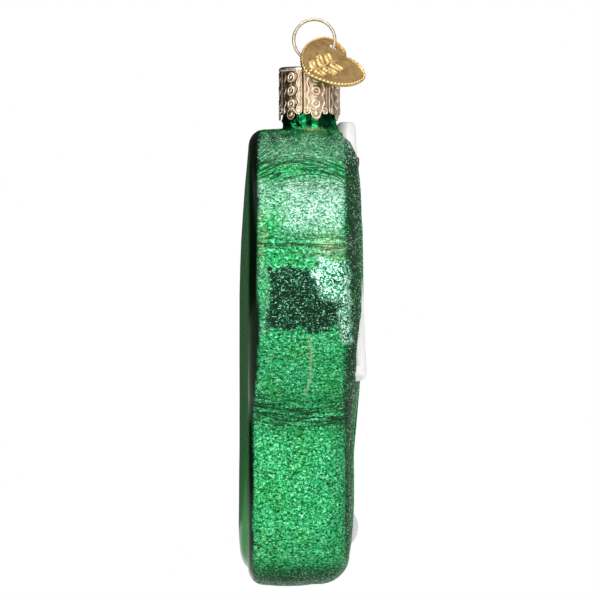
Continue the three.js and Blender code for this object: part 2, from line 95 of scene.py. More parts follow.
SHOULDER = -CAP_SHEET - FIT_GAP - NECK_LENGTH
UPPER_RADIUS = 32.5
UPPER_CENTRE = np.array([0.0, SHOULDER - UPPER_RADIUS])
GREEN_HEIGHT = 89.3
GREEN_BOTTOM = SHOULDER - GREEN_HEIGHT
WAIST_RADIUS = 6
NEAR_WALL_RADIUS = 60
NEAR_WALL_REACH = 25
NEAR_WALL_DEPTH = 71.6
NEAR_CORNER_RADIUS = 13
BOTTOM_RADIUS = 80
FAR_CORNER_RADIUS = 21
FAR_WALL_RADIUS = 130
FAR_WALL_START = math.radians(-5)
SPINE_END = np.array([-1.0, SHOULDER - 64])

BACK_CREST = 13.7
BACK_DOME = 1.8
BACK_ROUNDING_DEPTH = 2.9
BACK_ROUNDING_INSET = 3.2
FRONT_CREST = 10.4
FRONT_DOME = 0.95
FRONT_ROUNDING_DEPTH = 4.1
FRONT_ROUNDING_INSET = 5.5
LOWER_FRONT_STEP = 1.8
LOWER_ROUNDING_GROWTH = 2.2
STEP_START = 42
STEP_END = 61
WALL_BARREL = 0.3
FRONT_POWER = 4
UPPER_BACK_POWER = 1.6
LOWER_BACK_POWER = 14
FULL_START = 58
FULL_END = 84
SHOULDER_FALL = 1.2
FALL_START = 2
FALL_END = 8
FALL_DEPTH = 14
OFFSET_REACH = 11
BACK_EDGE = BACK_CREST - BACK_DOME - BACK_ROUNDING_DEPTH
FRONT_EDGE = -(FRONT_CREST - FRONT_DOME - FRONT_ROUNDING_DEPTH)

STICK_RADIUS = 1.95
STICK_TOP = np.array([3.0, -7.15, SHOULDER + 1.3])
STICK_FOOT_REACH = UPPER_RADIUS - 4.1
STICK_FOOT_HEADING = math.radians(214.5)
STICK_FOOT = np.array([
    UPPER_CENTRE[0] + STICK_FOOT_REACH * math.cos(STICK_FOOT_HEADING),
    -9.1,
    UPPER_CENTRE[1] + STICK_FOOT_REACH * math.sin(STICK_FOOT_HEADING),
])
STICK_LENGTH = np.linalg.norm(STICK_TOP - STICK_FOOT)
STICK_END_ROUNDING = 0.9
STICK_UNEVENNESS = 0.012
STICK_LEVEL = STICK_TOP[2] + 0.35
STICK_PRESSED = 0.85

FLAG_DROP = 5.5
FLAG_HEIGHT = 10
FLAG_LENGTH = 13
FLAG_WAVE = 0.9
FLAG_FALL = 0.12

CUP_FROM_FOOT = 5.5
CUP_RADIUS = 4.1
CUP_RIM = 0.9
CUP_DEPTH = 4.0
CUP_FLOOR = 0.7
CUP_PROUD = 0.9
CUP_CENTRE = STICK_FOOT + (STICK_TOP - STICK_FOOT) * CUP_FROM_FOOT / STICK_LENGTH

# The face is let down beside the stick, the flag and the cup, so that they stand out of it. Each bed is
# full up to its first distance and has gone at its second.
STICK_PROUD = 0.85
STICK_BED = (2.4, 6.5)
CUP_BED = (CUP_RADIUS + 0.9, CUP_RADIUS + 3.9)
FLAG_SINK = 0.35
FLAG_BED = (0.5, 3.0)
FLAG_RISE = 0.4
FLAG_BACK = 0.6

BALL_RADIUS = 4.5
BALL_X = 8
BALL_RISE = 10.8
BALL_PROUD = 1.05
BALL_SEAT = 1.4
BALL_DIMPLES = 400
DIMPLE_RADIUS = 0.42
DIMPLE_DEPTH = 0.09

TAG_LOBE_RADIUS = 3.4
TAG_LOBE_SPACING = 5.7
TAG_LOBE_HEIGHT = 9.2
TAG_TIP_RADIUS = 2.6
TAG_TIP_HEIGHT = 0.3
TAG_SIDE_RADIUS = 11.8
TAG_SHEET = 0.3
TAG_HOLE_RADIUS = 0.75
TAG_HOLE = np.array([-3.3, 10.35, 0.0])
TAG_RING_ANGLE = math.radians(-26)
# The tag sits this much higher than the wire's middle, within the play of its hole, to clear the cap.
TAG_PLAY = np.array([0.0, 0.0, 0.37])
TAG_TILT = (0.6096, -0.6185, -1.9274)
TAG_BEADS = 52
TAG_BEAD_RISE = 0.3
TAG_RELIEF = 0.32
TAG_STROKE = 0.34

RING_CENTRE = np.array([0.0, -math.sin(RING_LEAN) * RING_RISE, math.cos(RING_LEAN) * RING_RISE])
HOOK_POINT = RING_CENTRE + np.array([0.0, 0.0, RING_RADIUS - WIRE_RADIUS])

# Marks on the near wall, each between two drops below the shoulder and two values of Y. The bare marks hold a
# painted dark reflection, the gleam marks a painted highlight.
BARE_REFLECTION_PATCH = ((26.8, 39.6), (-6.9, 8.0))
BARE_REFLECTION_EDGE = ((26.8, 40.6), (7.6, 9.9))
GLEAM_PATCH = ((26.0, 33.0), (-7.8, -1.1))
GLEAM_STRIP = ((31.0, 42.0), (-7.9, -6.1))
GLEAM_EDGE = ((27.5, 40.5), (7.9, 9.7))

# Y where the glitter stops at the back.
GLITTER_END = 9.85

# Relief of the blown glass, in millimetres.
WRINKLE = 0.06
FINE_WRINKLE = 0.035
FOLD_DEPTH = 0.3
CRACKLE = 0.1
SEAM_RIDGE = 0.22
LUMP = 0.07
SKIN_DROP = 0.1

# Steps of the fine meshes, in millimetres, and their counts of rings and sides.
OUTLINE_STEP = 0.36
HOLLOW_STEP = 3.0
CAP_STEP = 0.095
GREEN_RINGS = {"wall": 38, "rounding": 11, "face": 10, "back_crest": 4, "front_crest": 19}
HOLLOW_RINGS = {"wall": 6, "rounding": 3, "face": 2, "back_crest": 3, "front_crest": 3}
NECK_SIDES = 120
TAG_POINTS = 600

# The hollow lies this much deeper than the wall, and the crest's rings end at this share of their way.
HOLLOW_MARGIN = 2.2
CREST_END = 0.985


# Numbers and noise

def smoothstep(value, start, end):
    part = np.clip((np.asarray(value, float) - start) / (end - start), 0, 1)
    return part * part * (3 - 2 * part)


def fade(value, near, far):
    """1 up to a near distance and 0 from a far one."""
    return smoothstep(value, far, near)


def hump(value, middle, width):
    """A smooth hump, 1 at its middle and near 0 beyond its width."""
    return np.exp(-((np.asarray(value, float) - middle) / width) ** 2)


def mound(distance, width):
    """A rounded mound, 1 at its middle and 0 beyond its width."""
    return np.clip(1 - (distance / width) ** 2, 0, None)


def ripple(u, v, w=0.0):
    """Smooth noise from -1 to 1 at each place of equal-shaped arrays."""
    u, v, w = np.broadcast_arrays(u, v, w)
    flat = [noise.noise((a, b, c)) for a, b, c in zip(u.ravel(), v.ravel(), w.ravel())]
    return np.array(flat).reshape(u.shape)


def circle(angles):
    """Points (x, y) of a circle of radius 1."""
    return np.column_stack([np.cos(angles), np.sin(angles)])


def on_segment(points, start, end):
    """Each point's share of the way along a segment, and the segment's nearest place."""
    span = end - start
    share = np.clip((points - start) @ span / (span @ span), 0, 1)
    return share, start + share[:, None] * span


# Meshes

def loft_faces(rings, count, closed=True):
    """Quads through rings of equal count."""
    ring = np.arange(rings - 1)[:, None] * count
    here = np.arange(count if closed else count - 1)[None, :]
    after = (here + 1) % count
    quads = np.stack([ring + here, ring + after, ring + after + count, ring + here + count], axis=-1)
    return quads.reshape(-1, 4)


def new_object(name, points, faces):
    """Mesh object from points in millimetres in the local frame and from faces."""
    data = bpy.data.meshes.new(name)
    data.from_pydata((np.asarray(points) - HOOK_POINT) * MM, [], [list(map(int, face)) for face in faces])
    data.update()
    made = bpy.data.objects.new(name, data)
    bpy.context.scene.collection.objects.link(made)
    return made


def finish_piece(piece, body, node_name, material, smooth_angle=40):
    """Shades a piece, gives it its material and puts it on its body in the place of a node, which it hides.
    """
    piece.data.materials.clear()
    piece.data.materials.append(material)
    piece.data.shade_smooth()
    piece.data.set_sharp_from_angle(angle=math.radians(smooth_angle))
    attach(piece, body)
    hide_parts(node_name)


def combine(piece, other, operation):
    """Adds or cuts another closed mesh, which is used up."""
    modifier = piece.modifiers.new("combine", "BOOLEAN")
    modifier.object = other
    modifier.operation = operation
    modifier.solver = "MANIFOLD"
    graph = bpy.context.evaluated_depsgraph_get()
    made = bpy.data.meshes.new_from_object(piece.evaluated_get(graph))
    piece.modifiers.clear()
    piece.data = made
    bpy.data.objects.remove(other)
    return piece


def revolved(profile, sides):
    """Closed body about +Z from (radius, height) corners that begin and end on the axis."""
    profile = np.asarray(profile, float)
    angles = FULL_TURN * np.arange(sides) / sides
    body = profile[1:-1]
    rings = np.stack([
        body[:, 0:1] * np.cos(angles),
        body[:, 0:1] * np.sin(angles),
        np.repeat(body[:, 1:2], sides, axis=1),
    ], axis=-1)
    points = [*rings.reshape(-1, 3), [0, 0, profile[0, 1]], [0, 0, profile[-1, 1]]]
    faces = [list(face) for face in loft_faces(len(body), sides)]
    last = len(points) - 1
    top = (len(body) - 1) * sides
    for i in range(sides):
        after = (i + 1) % sides
        faces.append([after, i, last - 1])
        faces.append([top + i, top + after, last])
    return np.array(points), faces


def drill(piece, radius, heights, sides, place):
    """Cuts a round hole along Z between two heights."""
    low, high = heights
    points, faces = revolved([(0, low), (radius, low), (radius, high), (0, high)], sides)
    combine(piece, new_object("hole", points + place, faces), "DIFFERENCE")


# Outline of the green, a chain of touching arcs

def touching_centre(first, first_distance, second, second_distance, side):
    span = second - first
    length = np.hypot(*span)
    along = (first_distance ** 2 - second_distance ** 2 + length ** 2) / (2 * length)
    across = math.sqrt(first_distance ** 2 - along ** 2) * side
    unit = span / length
    return first + unit * along + np.array([-unit[1], unit[0]]) * across


def heading(start, end):
    return math.atan2(end[1] - start[1], end[0] - start[0])


def outline_arcs():
    """(centre, radius, first angle, last angle) of each arc; a hollow arc has a negative radius."""
    near_wall = np.array([NEAR_WALL_RADIUS - NEAR_WALL_REACH, SHOULDER - NEAR_WALL_DEPTH])
    bottom = np.array([0.0, GREEN_BOTTOM + BOTTOM_RADIUS])
    far_reach = FAR_WALL_RADIUS - UPPER_RADIUS
    far_wall = UPPER_CENTRE - far_reach * np.array([math.cos(FAR_WALL_START), math.sin(FAR_WALL_START)])
    waist = touching_centre(
        UPPER_CENTRE, UPPER_RADIUS + WAIST_RADIUS, near_wall, NEAR_WALL_RADIUS + WAIST_RADIUS, -1)
    near_corner = touching_centre(
        near_wall, NEAR_WALL_RADIUS - NEAR_CORNER_RADIUS, bottom, BOTTOM_RADIUS - NEAR_CORNER_RADIUS, 1)
    far_corner = touching_centre(
        bottom, BOTTOM_RADIUS - FAR_CORNER_RADIUS, far_wall, FAR_WALL_RADIUS - FAR_CORNER_RADIUS, 1)
    upper_end = heading(UPPER_CENTRE, waist)
    wall_top = heading(near_wall, waist)
    wall_end = heading(near_wall, near_corner)
    bottom_start = heading(bottom, near_corner)
    bottom_end = heading(bottom, far_corner)
    far_start = heading(far_wall, far_corner)
    return [
        (UPPER_CENTRE, UPPER_RADIUS, FAR_WALL_START, upper_end + FULL_TURN),
        (waist, -WAIST_RADIUS, upper_end + math.pi, wall_top - math.pi),
        (near_wall, NEAR_WALL_RADIUS, wall_top, wall_end + FULL_TURN),
        (near_corner, NEAR_CORNER_RADIUS, wall_end, bottom_start),
        (bottom, BOTTOM_RADIUS, bottom_start, bottom_end),
        (far_corner, FAR_CORNER_RADIUS, bottom_end, far_start),
        (far_wall, FAR_WALL_RADIUS, far_start, FAR_WALL_START),
    ]


ARCS = outline_arcs()


def outline(inset, step):
    """Outline points (x, z) drawn in by an inset, with the same count at every inset."""
    parts = []
    for centre, radius, start, end in ARCS:
        count = max(3, round(abs(end - start) * abs(radius) / step))
        angles = start + (end - start) * np.arange(count) / count
        reach = abs(radius - inset)
        parts.append(centre + reach * circle(angles))
    return np.concatenate(parts)


def spine_points(points):
    return on_segment(points, UPPER_CENTRE, SPINE_END)[1]


def dome_rise(inset, reach, height, power):
    """Rise of a dome in from its rounded edge."""
    part = np.clip(inset / reach, 0, 1)
    return height * (1 - (1 - part) ** power)


def back_power(z):
    """Steepness of the back's dome: gentle over the upper lobe and steep near the bottom."""
    full = smoothstep(SHOULDER - z, FULL_START, FULL_END)
    return UPPER_BACK_POWER + (LOWER_BACK_POWER - UPPER_BACK_POWER) * full


def fall_at(y, z):
    """How far the shoulder slopes down towards the front."""
    forward = smoothstep(-y, FALL_START, FALL_END)
    return SHOULDER_FALL * forward * (1 - smoothstep(SHOULDER - z, 0, FALL_DEPTH))


def lower_share(z):
    return smoothstep(SHOULDER - z, STEP_START, STEP_END)


def back_y(inset, z, reach, skin):
    start = BACK_ROUNDING_INSET - skin
    return BACK_EDGE + BACK_ROUNDING_DEPTH - skin + dome_rise(
        inset - start, reach - start, BACK_DOME, back_power(z))


def front_wall_y(z):
    return FRONT_EDGE + lower_share(z) * (LOWER_FRONT_STEP + LOWER_ROUNDING_GROWTH)


def front_depth(z, skin):
    return FRONT_ROUNDING_DEPTH - skin + lower_share(z) * LOWER_ROUNDING_GROWTH


def front_y(inset, z, reach, skin):
    start = FRONT_ROUNDING_INSET - skin
    return front_wall_y(z) - front_depth(z, skin) - dome_rise(
        inset - start, reach - start, FRONT_DOME, FRONT_POWER)


def flag_frame():
    """The flag's top corner at the stick, and the directions down the stick and along the fly."""
    down = (STICK_FOOT - STICK_TOP)[[0, 2]]
    along = down / np.linalg.norm(down)
    across = np.array([-along[1], along[0]])
    start = STICK_TOP[[0, 2]] + along * FLAG_DROP + across * (STICK_RADIUS + 0.15)
    return start, along, np.array([1, -FLAG_FALL]) / math.hypot(1, FLAG_FALL)


def bedded(points):
    """Y of places on the front face, let down round the stick, the flag and the cup."""
    y, z = points[:, 1:].T
    flat = points[:, [0, 2]]
    share, nearest = on_segment(flat, STICK_TOP[[0, 2]], STICK_FOOT[[0, 2]])
    away = np.linalg.norm(flat - nearest, axis=1)
    level = STICK_TOP[1] + share * (STICK_FOOT[1] - STICK_TOP[1]) - STICK_PROUD
    below_edge = smoothstep(SHOULDER - z, 1, 4)
    stick_bed = np.clip(level - y, 0, None) * fade(away, *STICK_BED) * below_edge
    from_cup = np.linalg.norm(flat - CUP_CENTRE[[0, 2]], axis=1)
    cup_bed = np.clip(CUP_CENTRE[1] - y, 0, None) * fade(from_cup, *CUP_BED)
    start, along, fly = flag_frame()
    offset = flat - start
    outside = np.hypot(
        np.clip(np.abs(offset @ fly - FLAG_LENGTH / 2) - FLAG_LENGTH / 2, 0, None),
        np.clip(np.abs(offset @ along - FLAG_HEIGHT / 2) - FLAG_HEIGHT / 2 - FLAG_WAVE, 0, None))
    flag_bed = FLAG_SINK * fade(outside, *FLAG_BED) * smoothstep(-y, 5, 8)
    return y + np.maximum.reduce([stick_bed, cup_bed, flag_bed])


def edge_distance(points):
    """Distance of places from the green's outline, seen from the front."""
    edge = outline(0, 0.5)
    tree = KDTree(len(edge))
    for i, (x, z) in enumerate(edge):
        tree.insert((x, 0, z), i)
    tree.balance()
    return np.array([tree.find((x, 0, z))[2] for x, _, z in points])


def green_grid(skin, step, counts):
    """Rings of the pillow-shaped green from the back's crest round the wall to the front's crest."""
    inner = outline(OFFSET_REACH, step)
    targets = spine_points(inner)
    reaches = OFFSET_REACH - skin + np.hypot(*(targets - inner).T)
    rings = []

    def add(inset, depth):
        points = outline(inset + skin, step)
        y = depth(points[:, 1])
        rings.append(np.column_stack([points[:, 0], y, points[:, 1]]))

    def add_crest(share, depth):
        place = inner + share * (targets - inner)
        inset = OFFSET_REACH - skin + share * (reaches - OFFSET_REACH + skin)
        y = depth(inset, place[:, 1], reaches, skin)
        rings.append(np.column_stack([place[:, 0], y, place[:, 1]]))

    for share in np.linspace(CREST_END, 0, counts["back_crest"], endpoint=False):
        add_crest(share, back_y)
    back_inset = BACK_ROUNDING_INSET - skin
    for inset in np.linspace(OFFSET_REACH - skin, back_inset, counts["face"], endpoint=False):
        add(inset, lambda z, inset=inset: back_y(inset, z, reaches, skin))
    for angle in np.linspace(RIGHT_ANGLE, 0, counts["rounding"], endpoint=False):
        depth = BACK_EDGE + (BACK_ROUNDING_DEPTH - skin) * math.sin(angle)
        add(back_inset * (1 - math.cos(angle)), lambda z, depth=depth: np.full(len(z), depth))
    for share in np.linspace(0, 1, counts["wall"], endpoint=False):
        add(-WALL_BARREL * math.sin(math.pi * share),
            lambda z, share=share: BACK_EDGE + share * (front_wall_y(z) - BACK_EDGE))
    front_inset = FRONT_ROUNDING_INSET - skin
    for angle in np.linspace(0, RIGHT_ANGLE, counts["rounding"], endpoint=False):
        add(front_inset * (1 - math.cos(angle)),
            lambda z, angle=angle: front_wall_y(z) - front_depth(z, skin) * math.sin(angle))
    for inset in np.linspace(front_inset, OFFSET_REACH - skin, counts["face"]):
        add(inset, lambda z, inset=inset: front_y(inset, z, reaches, skin))
    for share in np.linspace(0, CREST_END, counts["front_crest"] + 1)[1:]:
        add_crest(share, front_y)
    grid = np.stack(rings)
    grid[..., 2] -= fall_at(grid[..., 1], grid[..., 2])
    return grid


def grid_normals(grid):
    along = np.roll(grid, -1, axis=1) - np.roll(grid, 1, axis=1)
    across = np.gradient(grid, axis=0)
    normals = np.cross(across, along)
    lengths = np.linalg.norm(normals, axis=2, keepdims=True)
    return normals / np.maximum(lengths, 1e-9)


# Looks by place on the glass: distances are in millimetres, and a drop is measured from the shoulder

def glitter_edge(x, z):
    """Y of the edge where the glitter stops at the back, which was brushed on by hand."""
    rise = 1.0 * smoothstep(SHOULDER - z, 46, 56) - 0.4 * hump(SHOULDER - z, 36, 5)
    return GLITTER_END + rise + 0.3 * ripple(x / 5, z / 5) + 0.16 * ripple(x / 1.1, z / 1.1, 4.0)


def glitter_share(points):
    """1 where the glass is glittered and 0 on its smooth back."""
    x, y, z = points.T
    soft_edge = 0.3
    return np.clip((glitter_edge(x, z) - y) / soft_edge + 0.5, 0, 1)


def ragged(points, amount):
    """Two sizes of noise that fray the edge of a patch, in millimetres."""
    x, y, z = points.T
    return amount * (1.8 * ripple(y / 2.6, z / 2.6, x / 6) + 0.9 * ripple(y / 0.9, z / 0.9, 9.0))


def within(value, low, high):
    """1 between two values and 0 outside them, with a soft edge."""
    blur = 0.3
    return smoothstep(value, low - blur, low + blur) * smoothstep(value, high + blur, high - blur)


def patch(points, mark, fray):
    """1 on a frayed rectangle of the near wall between two drops and two values of Y."""
    x, y, z = points.T
    drops, depths = mark
    drop = SHOULDER - z + ragged(points, fray)
    depth = y + ragged(points[:, [0, 2, 1]], fray)
    return within(drop, *drops) * within(depth, *depths) * smoothstep(x, -20, -24)


def bare_share(points):
    """1 on the glossier patch of the near wall where the glitter is thin; its dark colour is a painted dark
    reflection.
    """
    return np.maximum(patch(points, BARE_REFLECTION_PATCH, 0.8), 0.35 * patch(points, BARE_REFLECTION_EDGE, 0.8))


def gleam_share(points):
    """1 on the crackled, pale painted highlight beside and under the bare patch."""
    right = patch(points, GLEAM_PATCH, 0.8)
    return np.maximum.reduce([right, patch(points, GLEAM_STRIP, 0.5), 0.15 * patch(points, GLEAM_EDGE, 0.5)])


def warm_share(points):
    """1 where the lacquer is thin and yellowish: at the neck's root, on a band and at the glitter's edge."""
    x, y, z = points.T
    drop = SHOULDER - z
    from_root = np.linalg.norm(points - [-4.5, -0.8, SHOULDER - 0.8], axis=1)
    root = 0.75 * smoothstep(from_root, 3.2, 0.6)
    band = 0.7 * hump(drop, 23.2, 2.4) * hump(y, -4.0, 3.2)
    edge = 0.7 * hump(drop, 21.5, 4.5) * hump(y, 9.2, 0.7)
    near = smoothstep(x, -18, -22)
    speckle = smoothstep(ripple(y / 0.9, z / 0.5, 2.0), -0.25, 0.25)
    return np.maximum(root, near * speckle * np.maximum(band, edge))


def frost_highlight_share(points):
    """1 on the painted highlight of the near wall under the shoulder, where clear grains also lie thickest.
    """
    x, y, z = points.T
    drop = SHOULDER - z + ragged(points, 0.5)
    depth = y + ragged(points[:, [0, 2, 1]], 0.35)
    main = smoothstep(drop, 8.6, 12.0) * smoothstep(drop, 23.0, 17.0)
    main *= smoothstep(depth, -7.0, -6.2) * smoothstep(depth, 7.5, 3.0)
    side = 0.5 * smoothstep(drop, 9.0, 12.0) * smoothstep(drop, 19.0, 14.0) * smoothstep(depth, -6.0, 4.0)
    top = 0.36 * smoothstep(drop, 0.3, 1.6) * smoothstep(drop, 8.0, 5.0)
    band = 0.4 * hump(drop, 23.4, 2.2) * hump(y, -3.8, 3.2)
    strip = 0.8 * patch(points, GLEAM_STRIP, 0.5)
    return smoothstep(x, -2, -12) * np.maximum.reduce([0.8 * main, 0.9 * side, top, band, strip])


def seam_share(points):
    """1 on a pale, thin line down the middle of the near wall, between the bare patch and the waist."""
    x, y, z = points.T
    drop = SHOULDER - z
    run = (drop - 40.3) / 11.9
    line = 0.1 - 0.55 * np.sin(math.pi * np.clip(run, 0, 1)) + 0.8 * np.clip(run, 0, 1) ** 2
    along = smoothstep(drop, 40.0, 41.0) * smoothstep(drop, 52.6, 51.0)
    return 0.45 * smoothstep(x, -10, -14) * along * hump(y, line, 0.24)


def crease_share(points):
    """1 where the glass has folds across its wall, at the waist, and less over the upper lobe."""
    y, z = points[:, 1:].T
    drop = SHOULDER - z
    sag = 0.012 * (y - 1) ** 2
    waist = np.clip(1.5 * hump(drop + sag, 55.8, 2.9), 0, 1)
    arches = np.clip(1.2 * hump(drop, 8.3, 3.4), 0, 1)
    band = 0.9 * hump(drop, 22.8, 2.4)
    lower = 0.35 * hump(drop, 44, 3.0)
    return np.maximum.reduce([waist, arches, band, lower])


def fold_bend(y, z):
    """How far a fold lies below its middle: folds arch under the shoulder and sag at the waist."""
    drop = SHOULDER - z
    return (0.04 * hump(drop, 7, 9) - 0.014 * hump(drop, 56, 6)) * (y - 1) ** 2


def wrinkle_heights(grid):
    """How far the blown glass stands out from its plain form, in millimetres."""
    x, y, z = grid[..., 0], grid[..., 1], grid[..., 2]
    flat = grid.reshape(-1, 3)
    edge = outline(0, OUTLINE_STEP)
    lengths = np.linalg.norm(np.roll(edge, -1, axis=0) - edge, axis=1)
    run = np.broadcast_to(np.cumsum(lengths) - lengths, x.shape)
    glittered = glitter_share(flat).reshape(x.shape)
    creased = crease_share(flat).reshape(x.shape)
    bare = bare_share(flat).reshape(x.shape)
    on_wall = smoothstep(y, -9.6, -6.0)
    seen = flat[:, [0, 2]]
    from_spine = np.linalg.norm(seen - spine_points(seen), axis=1).reshape(x.shape)
    warp = 1.2 * ripple(y / 6, run / 9, 3.0) - fold_bend(y, z)
    coarse = ripple((run + warp) / 1.5, y / 9, 7.0)
    fine = ripple((run + warp) / 0.8, y / 5, 11.0)
    creases = -np.abs(ripple((run + warp) / 1.5, y / 14, 19.0))
    lumps = ripple(x / 8, y / 8, z / 8)
    crackle = ripple(run / 1.3, y / 1.3, 23.0)
    heights = (WRINKLE * coarse + FINE_WRINKLE * fine) * smoothstep(from_spine, 3, 12)
    heights += creased * on_wall * (FOLD_DEPTH * creases + 0.08 * coarse)
    heights += CRACKLE * bare * crackle
    seam = SEAM_RIDGE * np.exp(-np.abs(y + 0.5) / 2.6) * on_wall
    return glittered * (heights + seam) + LUMP * lumps - SKIN_DROP


def neck_form(radius, top, flare, sides, rough=0.0):
    """Neck with a flared root, wavy by an amount below the cap."""
    root = SHOULDER - NECK_ROOT_DEPTH
    foot = root - NECK_OVERLAP
    profile = [(0, foot), (radius + flare, foot), (radius + flare, root)]
    for angle in np.linspace(0, RIGHT_ANGLE, 8)[1:]:
        rise = NECK_FLARE_RISE + flare * (1 - math.cos(angle))
        profile.append((radius + flare * (1 - math.sin(angle)), root + rise))
    for height in np.linspace(root + flare + NECK_FLARE_RISE, top, 40)[1:]:
        profile.append((radius, height))
    profile.append((0, top))
    points, faces = revolved(profile, sides)
    if rough:
        x, y, z = points.T
        spread = np.hypot(x, y)
        waves = ripple(x / 1.3, y / 1.3, z / 1.1) + 0.6 * ripple(x / 0.7, y / 0.7, z / 0.6)
        push = rough * waves * smoothstep(z, SHOULDER + 4.5, SHOULDER + 2.5)
        points[:, :2] *= (1 + push / np.maximum(spread, 1))[:, None] ** (spread > 1)[:, None]
    return points, faces


def capped_loft(grid):
    """Points and faces of a closed skin through a stack of rings."""
    rings, count = grid.shape[:2]
    faces = [list(face) for face in loft_faces(rings, count)]
    faces.append(list(range(count))[::-1])
    faces.append([(rings - 1) * count + i for i in range(count)])
    return grid.reshape(-1, 3), faces


def blown_glass():
    """The green and its neck as one hollow shell of glass."""
    grid = green_grid(0, OUTLINE_STEP, GREEN_RINGS)
    grid[..., 1] = bedded(grid.reshape(-1, 3)).reshape(grid.shape[:2])
    grid = grid + grid_normals(grid) * wrinkle_heights(grid)[..., None]
    glass = new_object("blown_green", *capped_loft(grid))
    neck_top = SHOULDER + NECK_LENGTH
    neck = neck_form(NECK_RADIUS, neck_top, NECK_FLARE, NECK_SIDES, NECK_ROUGHNESS)
    combine(glass, new_object("neck", *neck), "UNION")
    hollow = capped_loft(green_grid(GLASS_WALL + HOLLOW_MARGIN, HOLLOW_STEP, HOLLOW_RINGS))
    combine(glass, new_object("hollow", *hollow), "DIFFERENCE")
    bore = new_object("bore", *neck_form(NECK_RADIUS - GLASS_WALL, neck_top + 1, 0, 48))
    combine(glass, bore, "DIFFERENCE")
    return glass


def local_points(data):
    """A mesh's vertices in millimetres in the local frame."""
    flat = np.empty(len(data.vertices) * 3)
    data.vertices.foreach_get("co", flat)
    return flat.reshape(-1, 3) / MM + HOOK_POINT


def neck_share(points):
    """1 on the neck."""
    x, y, z = points.T
    return (np.hypot(x, y) < NECK_RADIUS + 1.6) * smoothstep(z, SHOULDER - 0.6, SHOULDER + 0.8)


def crown_shade_share(points):
    """1 on the mottled painted shade on top of the shoulder."""
    x, y, z = points.T
    mottle = 0.4 + 0.8 * ripple(x / 3, y / 1.6)
    return smoothstep(SHOULDER - z, 5.5, 1.2) * mottle * (1 - 0.7 * hump(y, 0, 2.5))


def rim_shade_share(points, inset):
    """1 on the painted shade of the front's rounding, for places at an inset from the outline."""
    y, z = points[:, 1:].T
    low = lower_share(z)
    rounded = (front_wall_y(z) - y) / front_depth(z, 0)
    rim = 0.9 * smoothstep(rounded, 0.27 + 0.57 * low, 0.51 + 0.43 * low)
    return rim * (1 - 0.8 * smoothstep(inset, 5, 10))


def store(data, name, values):
    attribute = data.attributes.new(name, "FLOAT", "POINT")
    attribute.data.foreach_set("value", np.asarray(values, np.float32))


# Glitter grains

SHARD = np.array([[1, 0, 0], [-0.5, 0.8, 0], [-0.5, -0.8, 0], [0, 0, 0.8]])
SHARD_FACES = [[0, 2, 1], [0, 1, 3], [1, 2, 3], [2, 0, 3]]
GRAIN_SIZES = (0.07, 0.17)
GRAIN_TILT = 0.45
GRAIN_SINK = 0.02
WALL_GRAINS = 26000
BRIGHT_GRAINS = 11000


def scattered(data, count, weights, seed):
    """Random places and normals on a mesh's faces, thicker where the faces weigh more."""
    random = np.random.default_rng(seed)
    data.calc_loop_triangles()
    triangles = np.empty(len(data.loop_triangles) * 3, np.int32)
    data.loop_triangles.foreach_get("vertices", triangles)
    triangles = triangles.reshape(-1, 3)
    points = local_points(data)
    corners = points[triangles]
    crossed = np.cross(corners[:, 1] - corners[:, 0], corners[:, 2] - corners[:, 0])
    areas = np.linalg.norm(crossed, axis=1)
    share = areas * weights[triangles].mean(axis=1)
    chosen = random.choice(len(triangles), count, p=share / share.sum())
    a, b = random.random((2, count, 1))
    flip = a + b > 1
    a = np.where(flip, 1 - a, a)
    b = np.where(flip, 1 - b, b)
    place = corners[chosen]
    spots = place[:, 0] + a * (place[:, 1] - place[:, 0]) + b * (place[:, 2] - place[:, 0])
    return spots, crossed[chosen] / areas[chosen, None], random


def shards(name, data, count, weights, looks, seed):
    """Closed splinters of glitter, lying in the surface at random turns."""
    spots, normals, random = scattered(data, count, weights, seed)
    tilt = normals + GRAIN_TILT * random.standard_normal((count, 3))
    tilt /= np.linalg.norm(tilt, axis=1, keepdims=True)
    side = np.cross(tilt, random.standard_normal((count, 3)))
    side /= np.linalg.norm(side, axis=1, keepdims=True)
    basis = np.stack([side, np.cross(tilt, side), tilt], axis=1)
    size = random.uniform(*GRAIN_SIZES, (count, 1, 1))
    points = np.einsum("ij,njk->nik", SHARD, basis) * size + spots[:, None] - GRAIN_SINK * normals[:, None]
    faces = np.array(SHARD_FACES)[None] + 4 * np.arange(count)[:, None, None]
    piece = new_object(name, points.reshape(-1, 3), faces.reshape(-1, 3))
    kinds = random.choice(len(looks), count, p=[share for _, share in looks])
    for material, _ in looks:
        piece.data.materials.append(material)
    piece.data.polygons.foreach_set("material_index", np.repeat(kinds, 4).astype(np.int32))
    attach(piece, "green")


# Material nodes

def node(tree, kind, inputs=None, **settings):
    """A shader node with its settings, its values and its links."""
    made = tree.nodes.new("ShaderNode" + kind)
    for key, value in settings.items():
        setattr(made, key, value)
    for key, value in (inputs or {}).items():
        if isinstance(value, bpy.types.NodeSocket):
            tree.links.new(value, made.inputs[key])
        else:
            made.inputs[key].default_value = value
    return made


def ramp(tree, factor, stops):
    made = node(tree, "ValToRGB", {"Fac": factor})
    elements = made.color_ramp.elements
    while len(elements) < len(stops):
        elements.new(1)
    for element, (position, colour) in zip(elements, stops):
        element.position = position
        element.color = (*colour, 1)
    return made.outputs["Color"]


def mix_colour(tree, factor, first, second, mode="MIX"):
    return node(tree, "Mix", {0: factor, 6: first, 7: second}, data_type="RGBA", blend_type=mode).outputs[2]


def mix_value(tree, factor, first, second):
    return node(tree, "Mix", {0: factor, 2: first, 3: second}, data_type="FLOAT").outputs[0]


def new_material(name):
    material = bpy.data.materials.new(name)
    material.use_nodes = True
    tree = material.node_tree
    return material, tree, tree.nodes["Principled BSDF"]


